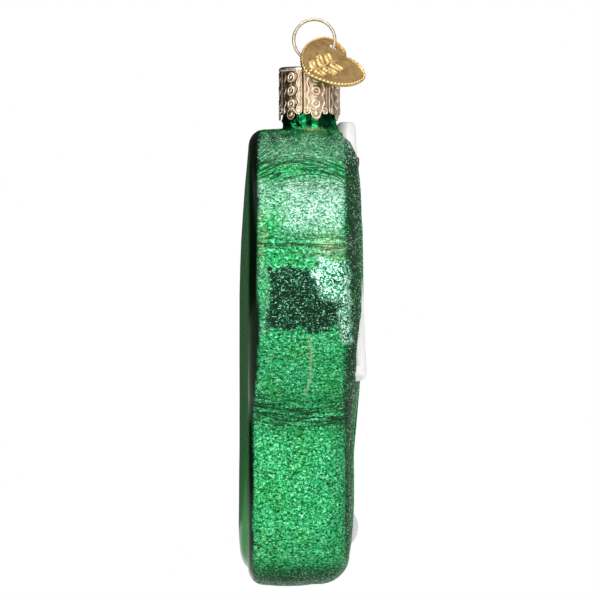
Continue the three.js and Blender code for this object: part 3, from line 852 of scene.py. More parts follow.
def place_of(tree, x_scale=1, y_scale=1, z_scale=1):
    """Surface place in the piece's own space, in millimetres times a scale along each axis."""
    scales = (x_scale / MM, y_scale / MM, z_scale / MM)
    coordinates = node(tree, "TexCoord")
    return node(tree, "Mapping", {"Vector": coordinates.outputs["Object"], "Scale": scales}).outputs["Vector"]


def maths(tree, operation, *values):
    return node(tree, "Math", dict(enumerate(values)), operation=operation).outputs[0]


def times(tree, first, second):
    return maths(tree, "MULTIPLY", first, second)


def rescaled(tree, value, low, high, first=0.0, last=1.0):
    """Takes the stretch from low to high to the stretch from first to last."""
    return node(tree, "MapRange", {
        "Value": value, "From Min": low, "From Max": high, "To Min": first, "To Max": last,
    }).outputs["Result"]


def bumped(tree, height, depth, strength=1.0, normal=None):
    inputs = {"Height": height, "Distance": depth * MM, "Strength": strength}
    if normal:
        inputs["Normal"] = normal
    return node(tree, "Bump", inputs).outputs["Normal"]


def turned_normal(tree, colour, amount):
    """The surface normal turned at random by each flake's colour."""
    geometry = node(tree, "NewGeometry")
    centred = node(tree, "VectorMath", {0: colour, 1: (0.5, 0.5, 0.5)}, operation="SUBTRACT")
    scaled = node(tree, "VectorMath", {0: centred.outputs[0], "Scale": amount}, operation="SCALE")
    added = node(tree, "VectorMath", {0: geometry.outputs["Normal"], 1: scaled.outputs[0]}, operation="ADD")
    return node(tree, "VectorMath", {0: added.outputs[0]}, operation="NORMALIZE").outputs[0]


def clouds(tree, vector, scale, detail, **more):
    """Noise over places in millimetres, its scale in patches a millimetre."""
    return node(tree, "TexNoise", {"Vector": vector, "Scale": scale, "Detail": detail, **more}).outputs["Fac"]


def thin_lines(tree, vector, width):
    """1 on the thin lines where a noise crosses its middle."""
    away = maths(tree, "SUBTRACT", clouds(tree, vector, 1.0, 2.0, Distortion=0.4), 0.5)
    return rescaled(tree, maths(tree, "ABSOLUTE", away), 0.0, width, 1.0, 0.0)


GLASS_MARKS = (
    "glitter", "bare", "gleam", "warm", "frost_highlight", "seam", "crease", "level", "dim", "outer", "neck")


def foil_colour(tree, marks, level, grit):
    """Green foil under grit, with a pale painted highlight and yellowish places."""
    foil = ramp(tree, level, [
        (0.14, (0.001, 0.03, 0.01)), (0.34, (0.005, 0.16, 0.042)), (0.52, (0.014, 0.42, 0.115)),
        (0.7, (0.045, 0.6, 0.2)), (0.88, (0.36, 0.86, 0.58)),
    ])
    hues = ramp(tree, clouds(tree, place_of(tree), 0.17, 3.0), [
        (0.3, (1.0, 0.95, 0.78)), (0.5, (1, 1, 1)), (0.66, (0.9, 0.97, 1.0))])
    foil = mix_colour(tree, 1.0, foil, hues, "MULTIPLY")
    # Pale colour of the painted highlight.
    clear = ramp(tree, level, [
        (0.24, (0.01, 0.16, 0.07)), (0.42, (0.17, 0.52, 0.33)), (0.62, (0.55, 0.77, 0.66)),
        (0.8, (0.76, 0.9, 0.83))])
    foil = mix_colour(tree, marks["frost_highlight"], foil, clear)
    return mix_colour(tree, times(tree, marks["warm"], grit), foil, (0.78, 0.76, 0.3, 1))


def fold_lines(tree, marks):
    """1 on the fine folds across the wall, which are bumped and also painted dark as their shade."""
    place = node(tree, "SeparateXYZ", {0: place_of(tree, 0.1, 0.1, 0.1)})
    bent = node(tree, "CombineXYZ", {
        "X": place.outputs["X"], "Y": place.outputs["Y"], "Z": times(tree, marks["level"], 0.95)})
    return times(tree, thin_lines(tree, bent.outputs[0], 0.1), marks["crease"])


def painted_reflections(tree, marks, level, foil):
    """The foil's colour with a painted dark reflection on the bare patch and a crackled painted highlight on
    the gleam.
    """
    # Dark colour of the bare patch: a painted dark reflection.
    dark_reflection = ramp(tree, level, [
        (0.25, (0.001, 0.006, 0.003)), (0.55, (0.003, 0.026, 0.01)), (0.75, (0.01, 0.12, 0.045)),
        (0.93, (0.25, 0.65, 0.43))])
    # Crackled pale colour of the gleam: a painted highlight.
    crackle = ramp(tree, clouds(tree, place_of(tree), 1.5, 4.0, Distortion=1.6), [
        (0.43, (0.005, 0.08, 0.03)), (0.5, (0.06, 0.42, 0.2)), (0.57, (0.5, 0.8, 0.66)),
        (0.66, (0.84, 0.94, 0.9))])
    foil = mix_colour(tree, marks["bare"], foil, dark_reflection)
    return mix_colour(tree, marks["gleam"], foil, crackle)


def smooth_colour(tree, marks):
    """Plain lacquer of the back and of the neck, in long faint swirls; on the back a painted shade darkens
    the rounding and fades away inward.
    """
    swirl = clouds(tree, place_of(tree, 0.05, 0.9, 0.02), 1.0, 2.0)
    back = ramp(tree, maths(tree, "MULTIPLY_ADD", swirl, 0.3, marks["outer"]), [
        (0.2, (0.001, 0.006, 0.002)), (0.55, (0.008, 0.06, 0.014)), (0.95, (0.04, 0.21, 0.055))])
    neck = ramp(tree, swirl, [(0.4, (0.001, 0.03, 0.01)), (0.6, (0.015, 0.3, 0.1))])
    return mix_colour(tree, marks["neck"], back, neck)


def glass_material():
    """Silvered glass under green lacquer: grit and foil on the wall and front, smooth at the back."""
    material, tree, shader = new_material("green_glass")
    marks = {name: node(tree, "Attribute", attribute_name=name).outputs["Fac"] for name in GLASS_MARKS}
    flakes = node(tree, "TexVoronoi", {"Vector": place_of(tree), "Scale": 3.4})
    grain = node(tree, "SeparateColor", {"Color": flakes.outputs["Color"]})
    grit = clouds(tree, place_of(tree, 2.2, 1.7, 2.9), 1.0, 3.0, Roughness=0.6, Distortion=0.9)

    even_level = mix_value(tree, 0.42, rescaled(tree, grit, 0.37, 0.63), grain.outputs["Red"])
    # dim lowers the foil's tone, a painted shade.
    level = maths(tree, "MULTIPLY_ADD", marks["dim"], -0.4, even_level)
    folded = fold_lines(tree, marks)
    foil = foil_colour(tree, marks, level, grit)
    # The folds are painted dark, a painted shade in the creases.
    foil = mix_colour(tree, folded, foil, (0.008, 0.03, 0.008, 1))
    foil = mix_colour(tree, marks["seam"], foil, (0.5, 0.68, 0.36, 1))
    foil = painted_reflections(tree, marks, level, foil)
    # dim also darkens the foil towards black: more painted shade.
    foil = mix_colour(tree, times(tree, marks["dim"], 0.35), foil, (0.001, 0.008, 0.003, 1))
    colour = mix_colour(tree, marks["glitter"], smooth_colour(tree, marks), foil)
    tree.links.new(colour, shader.inputs["Base Color"])

    thin = maths(tree, "MAXIMUM", marks["bare"], marks["gleam"])
    rough = mix_value(tree, thin, mix_value(tree, grain.outputs["Green"], 0.25, 0.5), 0.16)
    metal = mix_value(tree, thin, 0.72, 0.92)
    polish = mix_value(tree, marks["neck"], 0.2, 0.08)
    plating = mix_value(tree, marks["neck"], 0.4, 0.95)
    tree.links.new(mix_value(tree, marks["glitter"], polish, rough), shader.inputs["Roughness"])
    tree.links.new(mix_value(tree, marks["glitter"], plating, metal), shader.inputs["Metallic"])
    tilted = turned_normal(tree, flakes.outputs["Color"], mix_value(tree, thin, 0.6, 0.2))
    creased = bumped(tree, folded, -0.18, 0.9, bumped(tree, grit, 0.35, 0.8, tilted))
    plain = node(tree, "NewGeometry").outputs["Normal"]
    normal = node(tree, "Mix", {0: marks["glitter"], 4: plain, 5: creased}, data_type="VECTOR").outputs[1]
    tree.links.new(normal, shader.inputs["Normal"])
    tree.links.new(normal, shader.inputs["Coat Normal"])
    shader.inputs["Specular Tint"].default_value = (0.25, 0.55, 0.35, 1)
    tree.links.new(times(tree, marks["glitter"], 0.15), shader.inputs["Coat Weight"])
    shader.inputs["Coat Roughness"].default_value = 0.1
    return material


def grain_material(name, colour, metallic, roughness):
    """One sort of glitter splinter, a little uneven in tone."""
    material, tree, shader = new_material(name)
    spread = clouds(tree, place_of(tree), 1.4, 2.0)
    dim = tuple(0.6 * part for part in colour)
    tree.links.new(ramp(tree, spread, [(0.3, dim), (0.7, colour)]), shader.inputs["Base Color"])
    shader.inputs["Metallic"].default_value = metallic
    shader.inputs["Roughness"].default_value = roughness
    return material


def gold_material(name, light, dark, roughness, grain_scale, bump_depth, stamped=False):
    """Plated metal with a faint mottle; where it is stamped, the low places are darker."""
    material, tree, shader = new_material(name)
    mottle = clouds(tree, place_of(tree), grain_scale, 4.0)
    colour = ramp(tree, mottle, [(0.35, dark), (0.6, light)])
    if stamped:
        ridge = node(tree, "Attribute", attribute_name="ridge").outputs["Fac"]
        stamped_darkening = ramp(tree, ridge, [(0.0, (0.2, 0.15, 0.1)), (0.35, (0.58, 0.53, 0.46)), (0.85, (1, 1, 1))])
        colour = mix_colour(tree, 1.0, colour, stamped_darkening, "MULTIPLY")
    tree.links.new(colour, shader.inputs["Base Color"])
    tree.links.new(mix_value(tree, mottle, roughness * 0.7, roughness * 1.3), shader.inputs["Roughness"])
    fine = clouds(tree, place_of(tree), 9 * grain_scale, 2.0)
    tree.links.new(bumped(tree, fine, bump_depth, 0.5), shader.inputs["Normal"])
    shader.inputs["Metallic"].default_value = 1.0
    return material


def enamel_material(name, light, dark, roughness):
    """Brushed-on paint, glossy, a little uneven in tone and thickness."""
    material, tree, shader = new_material(name)
    pools = clouds(tree, place_of(tree), 0.6, 3.0)
    tree.links.new(ramp(tree, pools, [(0.3, dark), (0.6, light)]), shader.inputs["Base Color"])
    tree.links.new(bumped(tree, pools, 0.15, 0.4), shader.inputs["Normal"])
    shader.inputs["Roughness"].default_value = roughness
    shader.inputs["Coat Weight"].default_value = 0.5
    shader.inputs["Coat Roughness"].default_value = 0.06
    return material


# Cap

def panel_share(angle):
    """Place across a cap panel, from 0 at one groove to 1 at the next."""
    return ((angle - CAP_PANEL_TURN) / FULL_TURN * CAP_PANELS) % 1


def skirt_drop(share):
    """How far the skirt's edge hangs down, in a lobe on each panel with a bead on either side."""
    lobe = mound(share - 0.5, CAP_LOBE_WIDTH)
    bead = mound(np.abs(share - 0.5) - CAP_BEAD_PLACE, CAP_BEAD_WIDTH)
    return CAP_LOBE_DROP * np.sqrt(lobe) + CAP_BEAD_DROP * np.sqrt(bead)


def ring_relief(across, up, radius, width, height):
    """Raised ring round a point of the panel, or a dot where its radius is 0."""
    return height * mound(np.hypot(across, up) - radius, width)


def stamped_relief(share, z):
    """Height of the stamping over the cap's plain skirt, in millimetres."""
    panel_width = FULL_TURN * CAP_RADIUS / CAP_PANELS
    across = (share - 0.5) * panel_width
    from_groove = np.minimum(share, 1 - share) * panel_width
    relief = -GROOVE_DEPTH * mound(from_groove, GROOVE_WIDTH)
    relief += 0.1 * hump(from_groove, 2 * GROOVE_WIDTH, 0.14)
    wave = SCROLL_SWAY * np.sin(FULL_TURN * z / SCROLL_PITCH)
    for side in (-1, 1):
        relief += SCROLL_HEIGHT * mound(across - side * SCROLL_PLACE - wave, SCROLL_WIDTH)
    for row in range(ROSE_ROWS):
        up = z + ROSE_DROP + row * ROSE_PITCH
        relief += ring_relief(across, up, radius=0.72, width=0.27, height=0.2)
        relief += ring_relief(across, up, radius=0.0, width=0.3, height=0.17)
        between = np.abs(across) / 0.34 + np.abs(up + ROSE_PITCH / 2) / 0.26
        relief += 0.14 * np.clip(1.2 - between, 0, 0.6)
    edge = z + CAP_SKIRT
    for side in (-1, 1):
        corner = across - side * CAP_BEAD_PLACE * panel_width
        dot = ring_relief(corner, edge + 0.02, radius=0.0, width=0.42, height=0.24)
        relief += dot + ring_relief(corner, edge + 0.02, radius=0.66, width=0.18, height=0.14)
    relief += ring_relief(across, edge + 0.55, radius=0.0, width=0.5, height=0.2)
    relief += ring_relief(across, edge + 0.45, radius=0.95, width=0.2, height=0.12)
    beads = 0.5 + 0.5 * np.cos(FULL_TURN * share * round(panel_width / TOP_BEAD_PITCH))
    relief += 0.15 * beads * hump(z, -TOP_BEAD_DROP, 0.2)
    return relief


def cap_mesh():
    """The cap as a closed sheet: stamped outside, plain inside, with two holes for the wire."""
    columns = round(FULL_TURN * CAP_RADIUS / CAP_STEP)
    angles = FULL_TURN * np.arange(columns) / columns
    share = panel_share(angles)
    inner = CAP_RADIUS - CAP_SHEET
    rings = []

    def add(radius, height):
        heights = np.broadcast_to(height, columns)
        rings.append(np.column_stack([radius * np.cos(angles), radius * np.sin(angles), heights]))

    for radius in np.linspace(0.02, CAP_RADIUS - CAP_ROUNDING, 26, endpoint=False):
        add(radius, 0.0)
    for angle in np.linspace(0, RIGHT_ANGLE, 8, endpoint=False):
        add(CAP_RADIUS - CAP_ROUNDING * (1 - math.sin(angle)), -CAP_ROUNDING * (1 - math.cos(angle)))
    rows = round(CAP_SKIRT / CAP_STEP)
    bottom = -CAP_SKIRT - skirt_drop(share)
    for part in np.linspace(0, 1, rows):
        z = -CAP_ROUNDING + part * (bottom + CAP_ROUNDING)
        add(CAP_RADIUS - CAP_STAMP_BASE + stamped_relief(share, z) * CAP_STAMP_SHARE, z)
    for part in np.linspace(0, 1, 12):
        add(inner, bottom + part * (-CAP_SHEET - CAP_ROUNDING - bottom))
    for radius in np.linspace(inner - CAP_ROUNDING / 2, 0.02, 8):
        add(radius, -CAP_SHEET)
    points, faces = capped_loft(np.stack(rings)[::-1])
    cap = new_object("stamped_cap", points, faces)
    for side in (-1, 1):
        drill(cap, LEG_HOLE_RADIUS, (-2, 1), 32, [0, side * LEG_SPACING / 2, 0])
    points = local_points(cap.data)
    out = np.hypot(points[:, 0], points[:, 1]) - CAP_RADIUS
    on_skirt = smoothstep(points[:, 2], -0.5, -0.9)
    store(cap.data, "ridge", 1 - on_skirt * (1 - smoothstep(out, -0.24, 0.02)))
    return cap


# Wire

def smooth_path(points, steps):
    """Centripetal curve through points, the same number of steps between each two."""
    points = np.asarray(points, float)
    points = np.vstack([2 * points[0] - points[1], points, 2 * points[-1] - points[-2]])
    path = []
    for p0, p1, p2, p3 in zip(points, points[1:], points[2:], points[3:]):
        gaps = [math.sqrt(np.linalg.norm(b - a)) for a, b in ((p0, p1), (p1, p2), (p2, p3))]
        t1, t2, t3 = np.cumsum(gaps)
        for t in np.linspace(t1, t2, steps, endpoint=False):
            a1 = p0 + (p1 - p0) * t / t1
            a2 = p1 + (p2 - p1) * (t - t1) / (t2 - t1)
            a3 = p2 + (p3 - p2) * (t - t2) / (t3 - t2)
            b1 = a1 + (a2 - a1) * t / t2
            b2 = a2 + (a3 - a2) * (t - t1) / (t3 - t1)
            path.append(b1 + (b2 - b1) * (t - t1) / (t2 - t1))
    path.append(points[-2])
    return np.array(path)


def wire_path():
    bow = NECK_RADIUS - GLASS_WALL - FIT_GAP - WIRE_RADIUS

    def leg(sign):
        return [
            (0, sign * LEG_FOOT_SPACING / 2, -LEG_LENGTH),
            (0, sign * (LEG_FOOT_SPACING / 2 + 1.0), -LEG_LENGTH + 4),
            (0, sign * bow, -LEG_BOW_DEPTH),
            (0, sign * (LEG_SPACING / 2 + 0.5), -2.2),
            (0, sign * LEG_SPACING / 2, -0.4),
            (0, sign * LEG_SPACING / 2, 0.25),
        ]

    start = -RIGHT_ANGLE + RING_LEAN + RING_GAP
    angles = np.linspace(start, start + FULL_TURN - 2 * RING_GAP, 23)
    ring = RING_CENTRE + RING_RADIUS * np.insert(circle(angles), 0, 0, axis=1)
    return smooth_path([*leg(1), *ring, *leg(-1)[::-1]], 6)


def swept(path, radius, sides):
    """Round rod along a path in one plane across X, with eased ends."""
    along = np.gradient(path, axis=0)
    along /= np.linalg.norm(along, axis=1, keepdims=True)
    side = np.array([1.0, 0.0, 0.0])
    up = np.cross(along, side)
    angles = FULL_TURN * np.arange(sides) / sides
    radii = np.full(len(path), radius)
    radii[0] = radii[-1] = radius * (1 - WIRE_END_EASE)
    rings = path[:, None] + radii[:, None, None] * (
        np.cos(angles)[None, :, None] * side + np.sin(angles)[None, :, None] * up[:, None])
    points, faces = capped_loft(rings)
    return points, [face[::-1] for face in faces]


# Tag

def heart_outline(inset, count):
    """Points of the heart, drawn in by an inset, from its tip round to its tip at about equal steps."""
    tip = np.array([0.0, TAG_TIP_HEIGHT])
    lobe = np.array([TAG_LOBE_SPACING / 2, TAG_LOBE_HEIGHT])
    side = touching_centre(
        tip, TAG_SIDE_RADIUS - TAG_TIP_RADIUS, lobe, TAG_SIDE_RADIUS - TAG_LOBE_RADIUS, 1)
    lobe_radius = TAG_LOBE_RADIUS - inset
    turns = [
        (tip, TAG_TIP_RADIUS - inset, -RIGHT_ANGLE, heading(side, tip)),
        (side, TAG_SIDE_RADIUS - inset, heading(side, tip), heading(side, lobe)),
        (lobe, lobe_radius, heading(side, lobe), math.pi - math.acos(min(1, lobe[0] / lobe_radius))),
    ]
    half = []
    for centre, radius, first, last in turns:
        half.append(centre + radius * circle(np.linspace(first, last, 50)))
    half = np.concatenate(half)
    points = np.concatenate([half, half[::-1] * [-1, 1]])
    run = np.concatenate([[0], np.cumsum(np.linalg.norm(np.diff(points, axis=0), axis=1))])
    places = np.linspace(0, run[-1], count, endpoint=False)
    return np.column_stack([np.interp(places, run, points[:, i]) for i in (0, 1)])


def stroke_height(points, stroke, width):
    """Rounded ridge along a polyline."""
    best = np.full(len(points), np.inf)
    for a, b in zip(stroke, stroke[1:]):
        nearest = on_segment(points, a, b)[1]
        best = np.minimum(best, np.linalg.norm(points - nearest, axis=1))
    return np.sqrt(mound(best, width))


def sprig_strokes():
    """A plain sprig with paired looped leaves, as lines of the embossing."""
    stem = np.array([(0.1, -0.6), (0.3, 2.0), (0.0, 4.6), (0.1, 7.4)])
    strokes = [stem]
    turns = np.linspace(0, FULL_TURN, 15)
    for height, length in ((0.4, 2.3), (2.9, 3.1), (5.6, 2.6)):
        for side in (-1, 1):
            along = length / 2 * (1 - np.cos(turns))
            across = 0.5 * np.sin(turns)
            lean = math.radians(38)
            strokes.append(np.column_stack([
                0.1 + side * (0.2 + along * math.cos(lean) - across * math.sin(lean)),
                height + along * math.sin(lean) + across * math.cos(lean),
            ]))
    return strokes


def tag_mesh():
    """Stamped heart: a thin plate with a beaded rim, a hole and a raised sprig in its middle."""
    thick = TAG_SHEET / 2
    rim_insets = [0.0, 0.04, 0.1, 0.17, 0.24, 0.31, 0.38, 0.45, 0.51, 0.56, 0.64]
    field_shares = np.linspace(0, 0.97, 32)[1:]
    last = heart_outline(rim_insets[-1], TAG_POINTS)
    middle = np.array([0, TAG_LOBE_HEIGHT * 0.72])
    run = np.arange(TAG_POINTS) / TAG_POINTS
    rings = []
    for inset in rim_insets:
        rim = math.sqrt(max(0.0, 1 - ((inset - 0.28) / 0.285) ** 2))
        bead = np.abs(np.cos(math.pi * (run * TAG_BEADS + 0.9 * inset))) ** 0.7
        height = thick + rim * (0.04 + TAG_BEAD_RISE * bead)
        rings.append(np.column_stack([heart_outline(inset, TAG_POINTS), height]))
    strokes = sprig_strokes()
    for share in field_shares:
        ring = last + share * (middle - last)
        relief = np.max([stroke_height(ring, stroke, TAG_STROKE) for stroke in strokes], axis=0)
        dish = 0.03 * ripple(ring[:, 0] / 2, ring[:, 1] / 2)
        rings.append(np.column_stack([ring, thick + TAG_RELIEF * relief + dish * smoothstep(share, 0, 0.2)]))
    back = [np.column_stack([ring[:, :2], -ring[:, 2]]) for ring in rings]
    grid = np.stack([*back[::-1], *rings])
    plate = new_object("heart_charm", *capped_loft(grid))
    drill(plate, TAG_HOLE_RADIUS, (-2, 2), 40, TAG_HOLE)
    store(plate.data, "ridge", 0.3 + 3.2 * (np.abs(local_points(plate.data)[:, 2]) - thick))
    return plate


def hang_tag(plate):
    """Tilts the tag and puts its hole on the ring's wire."""
    turn = Matrix.Identity(3)
    for angle, axis in zip(TAG_TILT, "XYZ"):
        turn = turn @ Matrix.Rotation(angle, 3, axis)
    place = RING_CENTRE + RING_RADIUS * np.array([0, -math.cos(TAG_RING_ANGLE), math.sin(TAG_RING_ANGLE)])
    points = (local_points(plate.data) - TAG_HOLE) @ np.array(turn).T + place + TAG_PLAY
    plate.data.vertices.foreach_set("co", ((points - HOOK_POINT) * MM).ravel())
    plate.data.update()
    return plate


# Stick, flag, cup and ball

def aimed(points, start, end):
    """Points whose own +Z runs along an axis from start to end."""
    along = (end - start) / np.linalg.norm(end - start)
    side = np.cross([0, -1, 0], along)
    side /= np.linalg.norm(side)
    return start + points @ np.stack([side, np.cross(along, side), along])


def stick_mesh():
    """The stick: a slightly uneven rod with rounded ends, its top pressed level."""
    angles = np.linspace(0, RIGHT_ANGLE, 6)
    sides = STICK_RADIUS - STICK_END_ROUNDING * (1 - np.cos(angles))
    ends = STICK_END_ROUNDING * (1 - np.sin(angles))
    shaft = np.linspace(STICK_END_ROUNDING, STICK_LENGTH - STICK_END_ROUNDING, 90)[1:-1]
    profile = [(0, 0), *zip(sides[::-1], ends[::-1])]
    profile += [(STICK_RADIUS, height) for height in shaft]
    profile += [*zip(sides, STICK_LENGTH - ends), (0, STICK_LENGTH)]
    points, faces = revolved(profile, 48)
    x, y, z = points.T
    points[:, :2] *= (1 - STICK_UNEVENNESS + STICK_UNEVENNESS * ripple(x / 2.5, y / 2.5, z / 4))[:, None]
    points = aimed(points, STICK_FOOT, STICK_TOP)
    points[:, 2] -= STICK_PRESSED * np.clip(points[:, 2] - STICK_LEVEL, 0, None)
    return new_object("flagstick_rod", points, faces)


def cup_mesh():
    """The cup: a white rim round a well, with a trough across it for the stick."""
    rim_inner = CUP_RADIUS - CUP_RIM
    floor = CUP_PROUD - CUP_DEPTH
    bend = CUP_PROUD - CUP_RIM / 2
    profile = [(0, floor)]
    profile += [(CUP_RADIUS, height) for height in np.linspace(floor, bend, 8)]
    for angle in np.linspace(0, math.pi, 14)[1:-1]:
        inset = CUP_RIM / 2 * (1 - math.cos(angle))
        profile.append((CUP_RADIUS - inset, bend + CUP_RIM / 2 * math.sin(angle)))
    profile += [(rim_inner, height) for height in np.linspace(bend, floor + CUP_FLOOR, 6)]
    profile.append((0, floor + CUP_FLOOR))
    points, faces = revolved(profile, 72)
    turn = np.array(Matrix.Rotation(RIGHT_ANGLE, 3, "X"))
    ring = new_object("cup_ring", points @ turn.T + CUP_CENTRE, faces)
    radius = STICK_RADIUS + FIT_GAP / 3
    trough, trough_faces = revolved([(0, -1), (radius, -1), (radius, STICK_LENGTH), (0, STICK_LENGTH)], 48)
    bore = new_object("trough", aimed(trough, STICK_FOOT, STICK_TOP), trough_faces)
    return combine(ring, bore, "DIFFERENCE")


def ball_mesh():
    """Low dome of the ball with rows of dimples."""
    lower_front = -(FRONT_CREST - LOWER_FRONT_STEP)
    centre = np.array([BALL_X, lower_front - BALL_PROUD + BALL_RADIUS, GREEN_BOTTOM + BALL_RISE])
    seat = BALL_RADIUS - BALL_PROUD - BALL_SEAT
    start = math.asin(seat / BALL_RADIUS)
    profile = [(0, seat)]
    for angle in np.linspace(start, RIGHT_ANGLE, 42):
        profile.append((BALL_RADIUS * math.cos(angle), BALL_RADIUS * math.sin(angle)))
    profile[-1] = (0, BALL_RADIUS)
    points, faces = revolved(profile, 120)
    order = np.arange(BALL_DIMPLES)
    turns = order * math.pi * (3 - math.sqrt(5))
    level = 1 - (order + 0.5) / (BALL_DIMPLES / 2)
    spread = np.sqrt(1 - level ** 2)
    dimples = np.column_stack([spread * np.cos(turns), spread * np.sin(turns), level])
    dimples = dimples[level > math.sin(start) + 0.02]
    unit = points / np.maximum(np.linalg.norm(points, axis=1, keepdims=True), 1e-9)
    nearest = (unit @ dimples.T).max(axis=1)
    apart = np.arccos(np.clip(nearest, -1, 1)) * BALL_RADIUS
    on_dome = points[:, 2] > seat + 0.02
    sunk = DIMPLE_DEPTH * mound(apart, DIMPLE_RADIUS) * on_dome
    points -= unit * sunk[:, None]
    points = points @ np.array(Matrix.Rotation(RIGHT_ANGLE, 3, "X")).T + centre
    return new_object("golf_ball_dome", points, faces)


def face_y(x, z):
    """Y of the green's front face at places away from its edge."""
    places = np.column_stack([x, z])
    targets = spine_points(places)
    away = np.hypot(*(places - targets).T)
    edge = outline(0, 1.0)
    inset = np.min(np.linalg.norm(places[:, None] - edge[None], axis=2), axis=1)
    depth = front_y(inset, z, inset + away, 0)
    return bedded(np.column_stack([x, depth, z]))


def flag_mesh():
    """A waving flag as a skin on the face, with a hem."""
    start, along, fly = flag_frame()
    columns = 80
    rows = 60
    share, height = np.meshgrid(np.linspace(0, 1, columns), np.linspace(0, 1, rows))
    offset = FLAG_HEIGHT * height + FLAG_WAVE * np.sin(FULL_TURN * share)
    flat = start + offset[..., None] * along + (FLAG_LENGTH * share)[..., None] * fly
    flat = flat.reshape(-1, 2)
    depth = face_y(flat[:, 0], flat[:, 1] + fall_at(-FRONT_CREST, flat[:, 1]))
    share = share.ravel()
    height = height.ravel()
    from_ends = np.minimum(share, 1 - share) * FLAG_LENGTH
    edge = np.minimum(from_ends, np.minimum(height, 1 - height) * FLAG_HEIGHT)
    wave = 0.09 * np.sin(FULL_TURN * (1.6 * share + 0.3 * height))
    rise = FLAG_RISE * np.sqrt(np.clip(edge / 0.5, 0, 1)) + wave
    hem = 0.05 * hump(edge, 0.75, 0.14)
    front = np.column_stack([flat[:, 0], depth - rise + hem, flat[:, 1]])
    behind = np.column_stack([flat[:, 0], depth + FLAG_BACK, flat[:, 1]])
    quads = loft_faces(rows, columns, closed=False)
    count = rows * columns
    border = [*range(columns), *range(2 * columns - 1, count, columns),
              *range(count - 2, count - columns - 1, -1), *range(count - 2 * columns, 0, -columns)]
    faces = [list(face)[::-1] for face in quads] + [[corner + count for corner in face] for face in quads]
    for a, b in zip(border, border[1:] + border[:1]):
        faces.append([a, b, b + count, a + count])
    return new_object("flag_skin", np.vstack([front, behind]), [face[::-1] for face in faces])


# Pieces

glass_look = glass_material()
clear_grain = grain_material("clear_glitter", (0.75, 0.92, 0.85), 0.2, 0.12)
mint_grain = grain_material("mint_glitter", (0.2, 0.7, 0.42), 0.6, 0.2)
green_grain = grain_material("green_glitter", (0.015, 0.3, 0.08), 0.8, 0.25)
gold_grain = grain_material("gold_glitter", (0.5, 0.55, 0.15), 0.8, 0.25)
cap_gold = gold_material(
    "champagne_gold", (0.82, 0.67, 0.52), (0.62, 0.47, 0.32), 0.2, 1.2, 0.03, stamped=True)
tag_gold = gold_material(
    "deep_gold", (0.78, 0.55, 0.24), (0.62, 0.4, 0.15), 0.26, 0.9, 0.035, stamped=True)
wire_gold = gold_material("pale_gold", (0.62, 0.54, 0.42), (0.42, 0.34, 0.24), 0.16, 1.5, 0.02)
white_enamel = enamel_material("white_enamel", (0.93, 0.93, 0.92), (0.88, 0.88, 0.87), 0.3)
red_enamel = enamel_material("red_enamel", (0.5, 0.012, 0.02), (0.38, 0.008, 0.015), 0.25)
pearl = enamel_material("pearl", (0.74, 0.74, 0.76), (0.6, 0.6, 0.63), 0.22)

glass = blown_glass()
glass_points = local_points(glass.data)
glass_y, glass_z = glass_points[:, 1:].T
on_neck = neck_share(glass_points)
glittered = glitter_share(glass_points) * (1 - on_neck)
bare = bare_share(glass_points)
gleam = gleam_share(glass_points)
frost_highlight = frost_highlight_share(glass_points)
inset = edge_distance(glass_points)
# Painted shade, darker towards the bottom.
underside_shade = 0.85 * smoothstep(SHOULDER - glass_z, 83.0, 88.0)
rim = rim_shade_share(glass_points, inset)
marks = {
    "glitter": glittered,
    "bare": bare,
    "gleam": gleam,
    "warm": warm_share(glass_points),
    "frost_highlight": frost_highlight,
    "seam": seam_share(glass_points),
    "crease": crease_share(glass_points) * smoothstep(inset, 6, 3),
    "level": glass_z + fold_bend(glass_y, glass_z),
    # dim gathers the painted shade of the underside, the top of the shoulder and the front's rounding.
    "dim": np.clip(np.maximum.reduce([underside_shade, crown_shade_share(glass_points), rim]), 0, 1) * (1 - gleam),
    # outer lightens the back away from its edge, leaving a painted shade on its rounding.
    "outer": 0.8 * smoothstep(inset, 1.2, 2.6),
    "neck": on_neck,
}
for name, values in marks.items():
    store(glass.data, name, values)
finish_piece(glass, "green", "glass_body", glass_look, smooth_angle=60)

looks = [(clear_grain, 0.06), (mint_grain, 0.3), (green_grain, 0.6), (gold_grain, 0.04)]
# Fewer grains on the bare patch, under its painted dark reflection.
weights = glittered * (1 - 0.92 * bare) * (1 - 0.3 * rim)
shards("wall_glitter", glass.data, WALL_GRAINS, weights, looks, seed=7)
sparks = [(clear_grain, 0.85), (mint_grain, 0.15)]
# Clear grains lie thickest on the painted highlight, and more of them fleck the painted shade of the rim and
# underside and the bare patch's painted reflection.
weights = glittered * (0.06 + 0.07 * bare + 0.9 * frost_highlight + 0.3 * rim + 0.25 * underside_shade)
shards("bright_glitter", glass.data, BRIGHT_GRAINS, weights, sparks, seed=11)

finish_piece(cap_mesh(), "cap", "cap", cap_gold, smooth_angle=60)
wire = new_object("ring_wire", *swept(wire_path(), WIRE_RADIUS, 20))
finish_piece(wire, "hanger", "hanger_wire", wire_gold)
finish_piece(hang_tag(tag_mesh()), "tag", "heart_tag", tag_gold, smooth_angle=60)
finish_piece(stick_mesh(), "green", "flagstick", white_enamel)
finish_piece(flag_mesh(), "green", "flag", red_enamel)
finish_piece(cup_mesh(), "green", "cup", white_enamel)
finish_piece(ball_mesh(), "green", "golf_ball", pearl)


# Camera, on the near side and level, framed as the photograph

CAMERA_DISTANCE = 1.2
FRAME_HEIGHT = 0.1182
AIM = Vector((0, 0.00282, -0.05494))

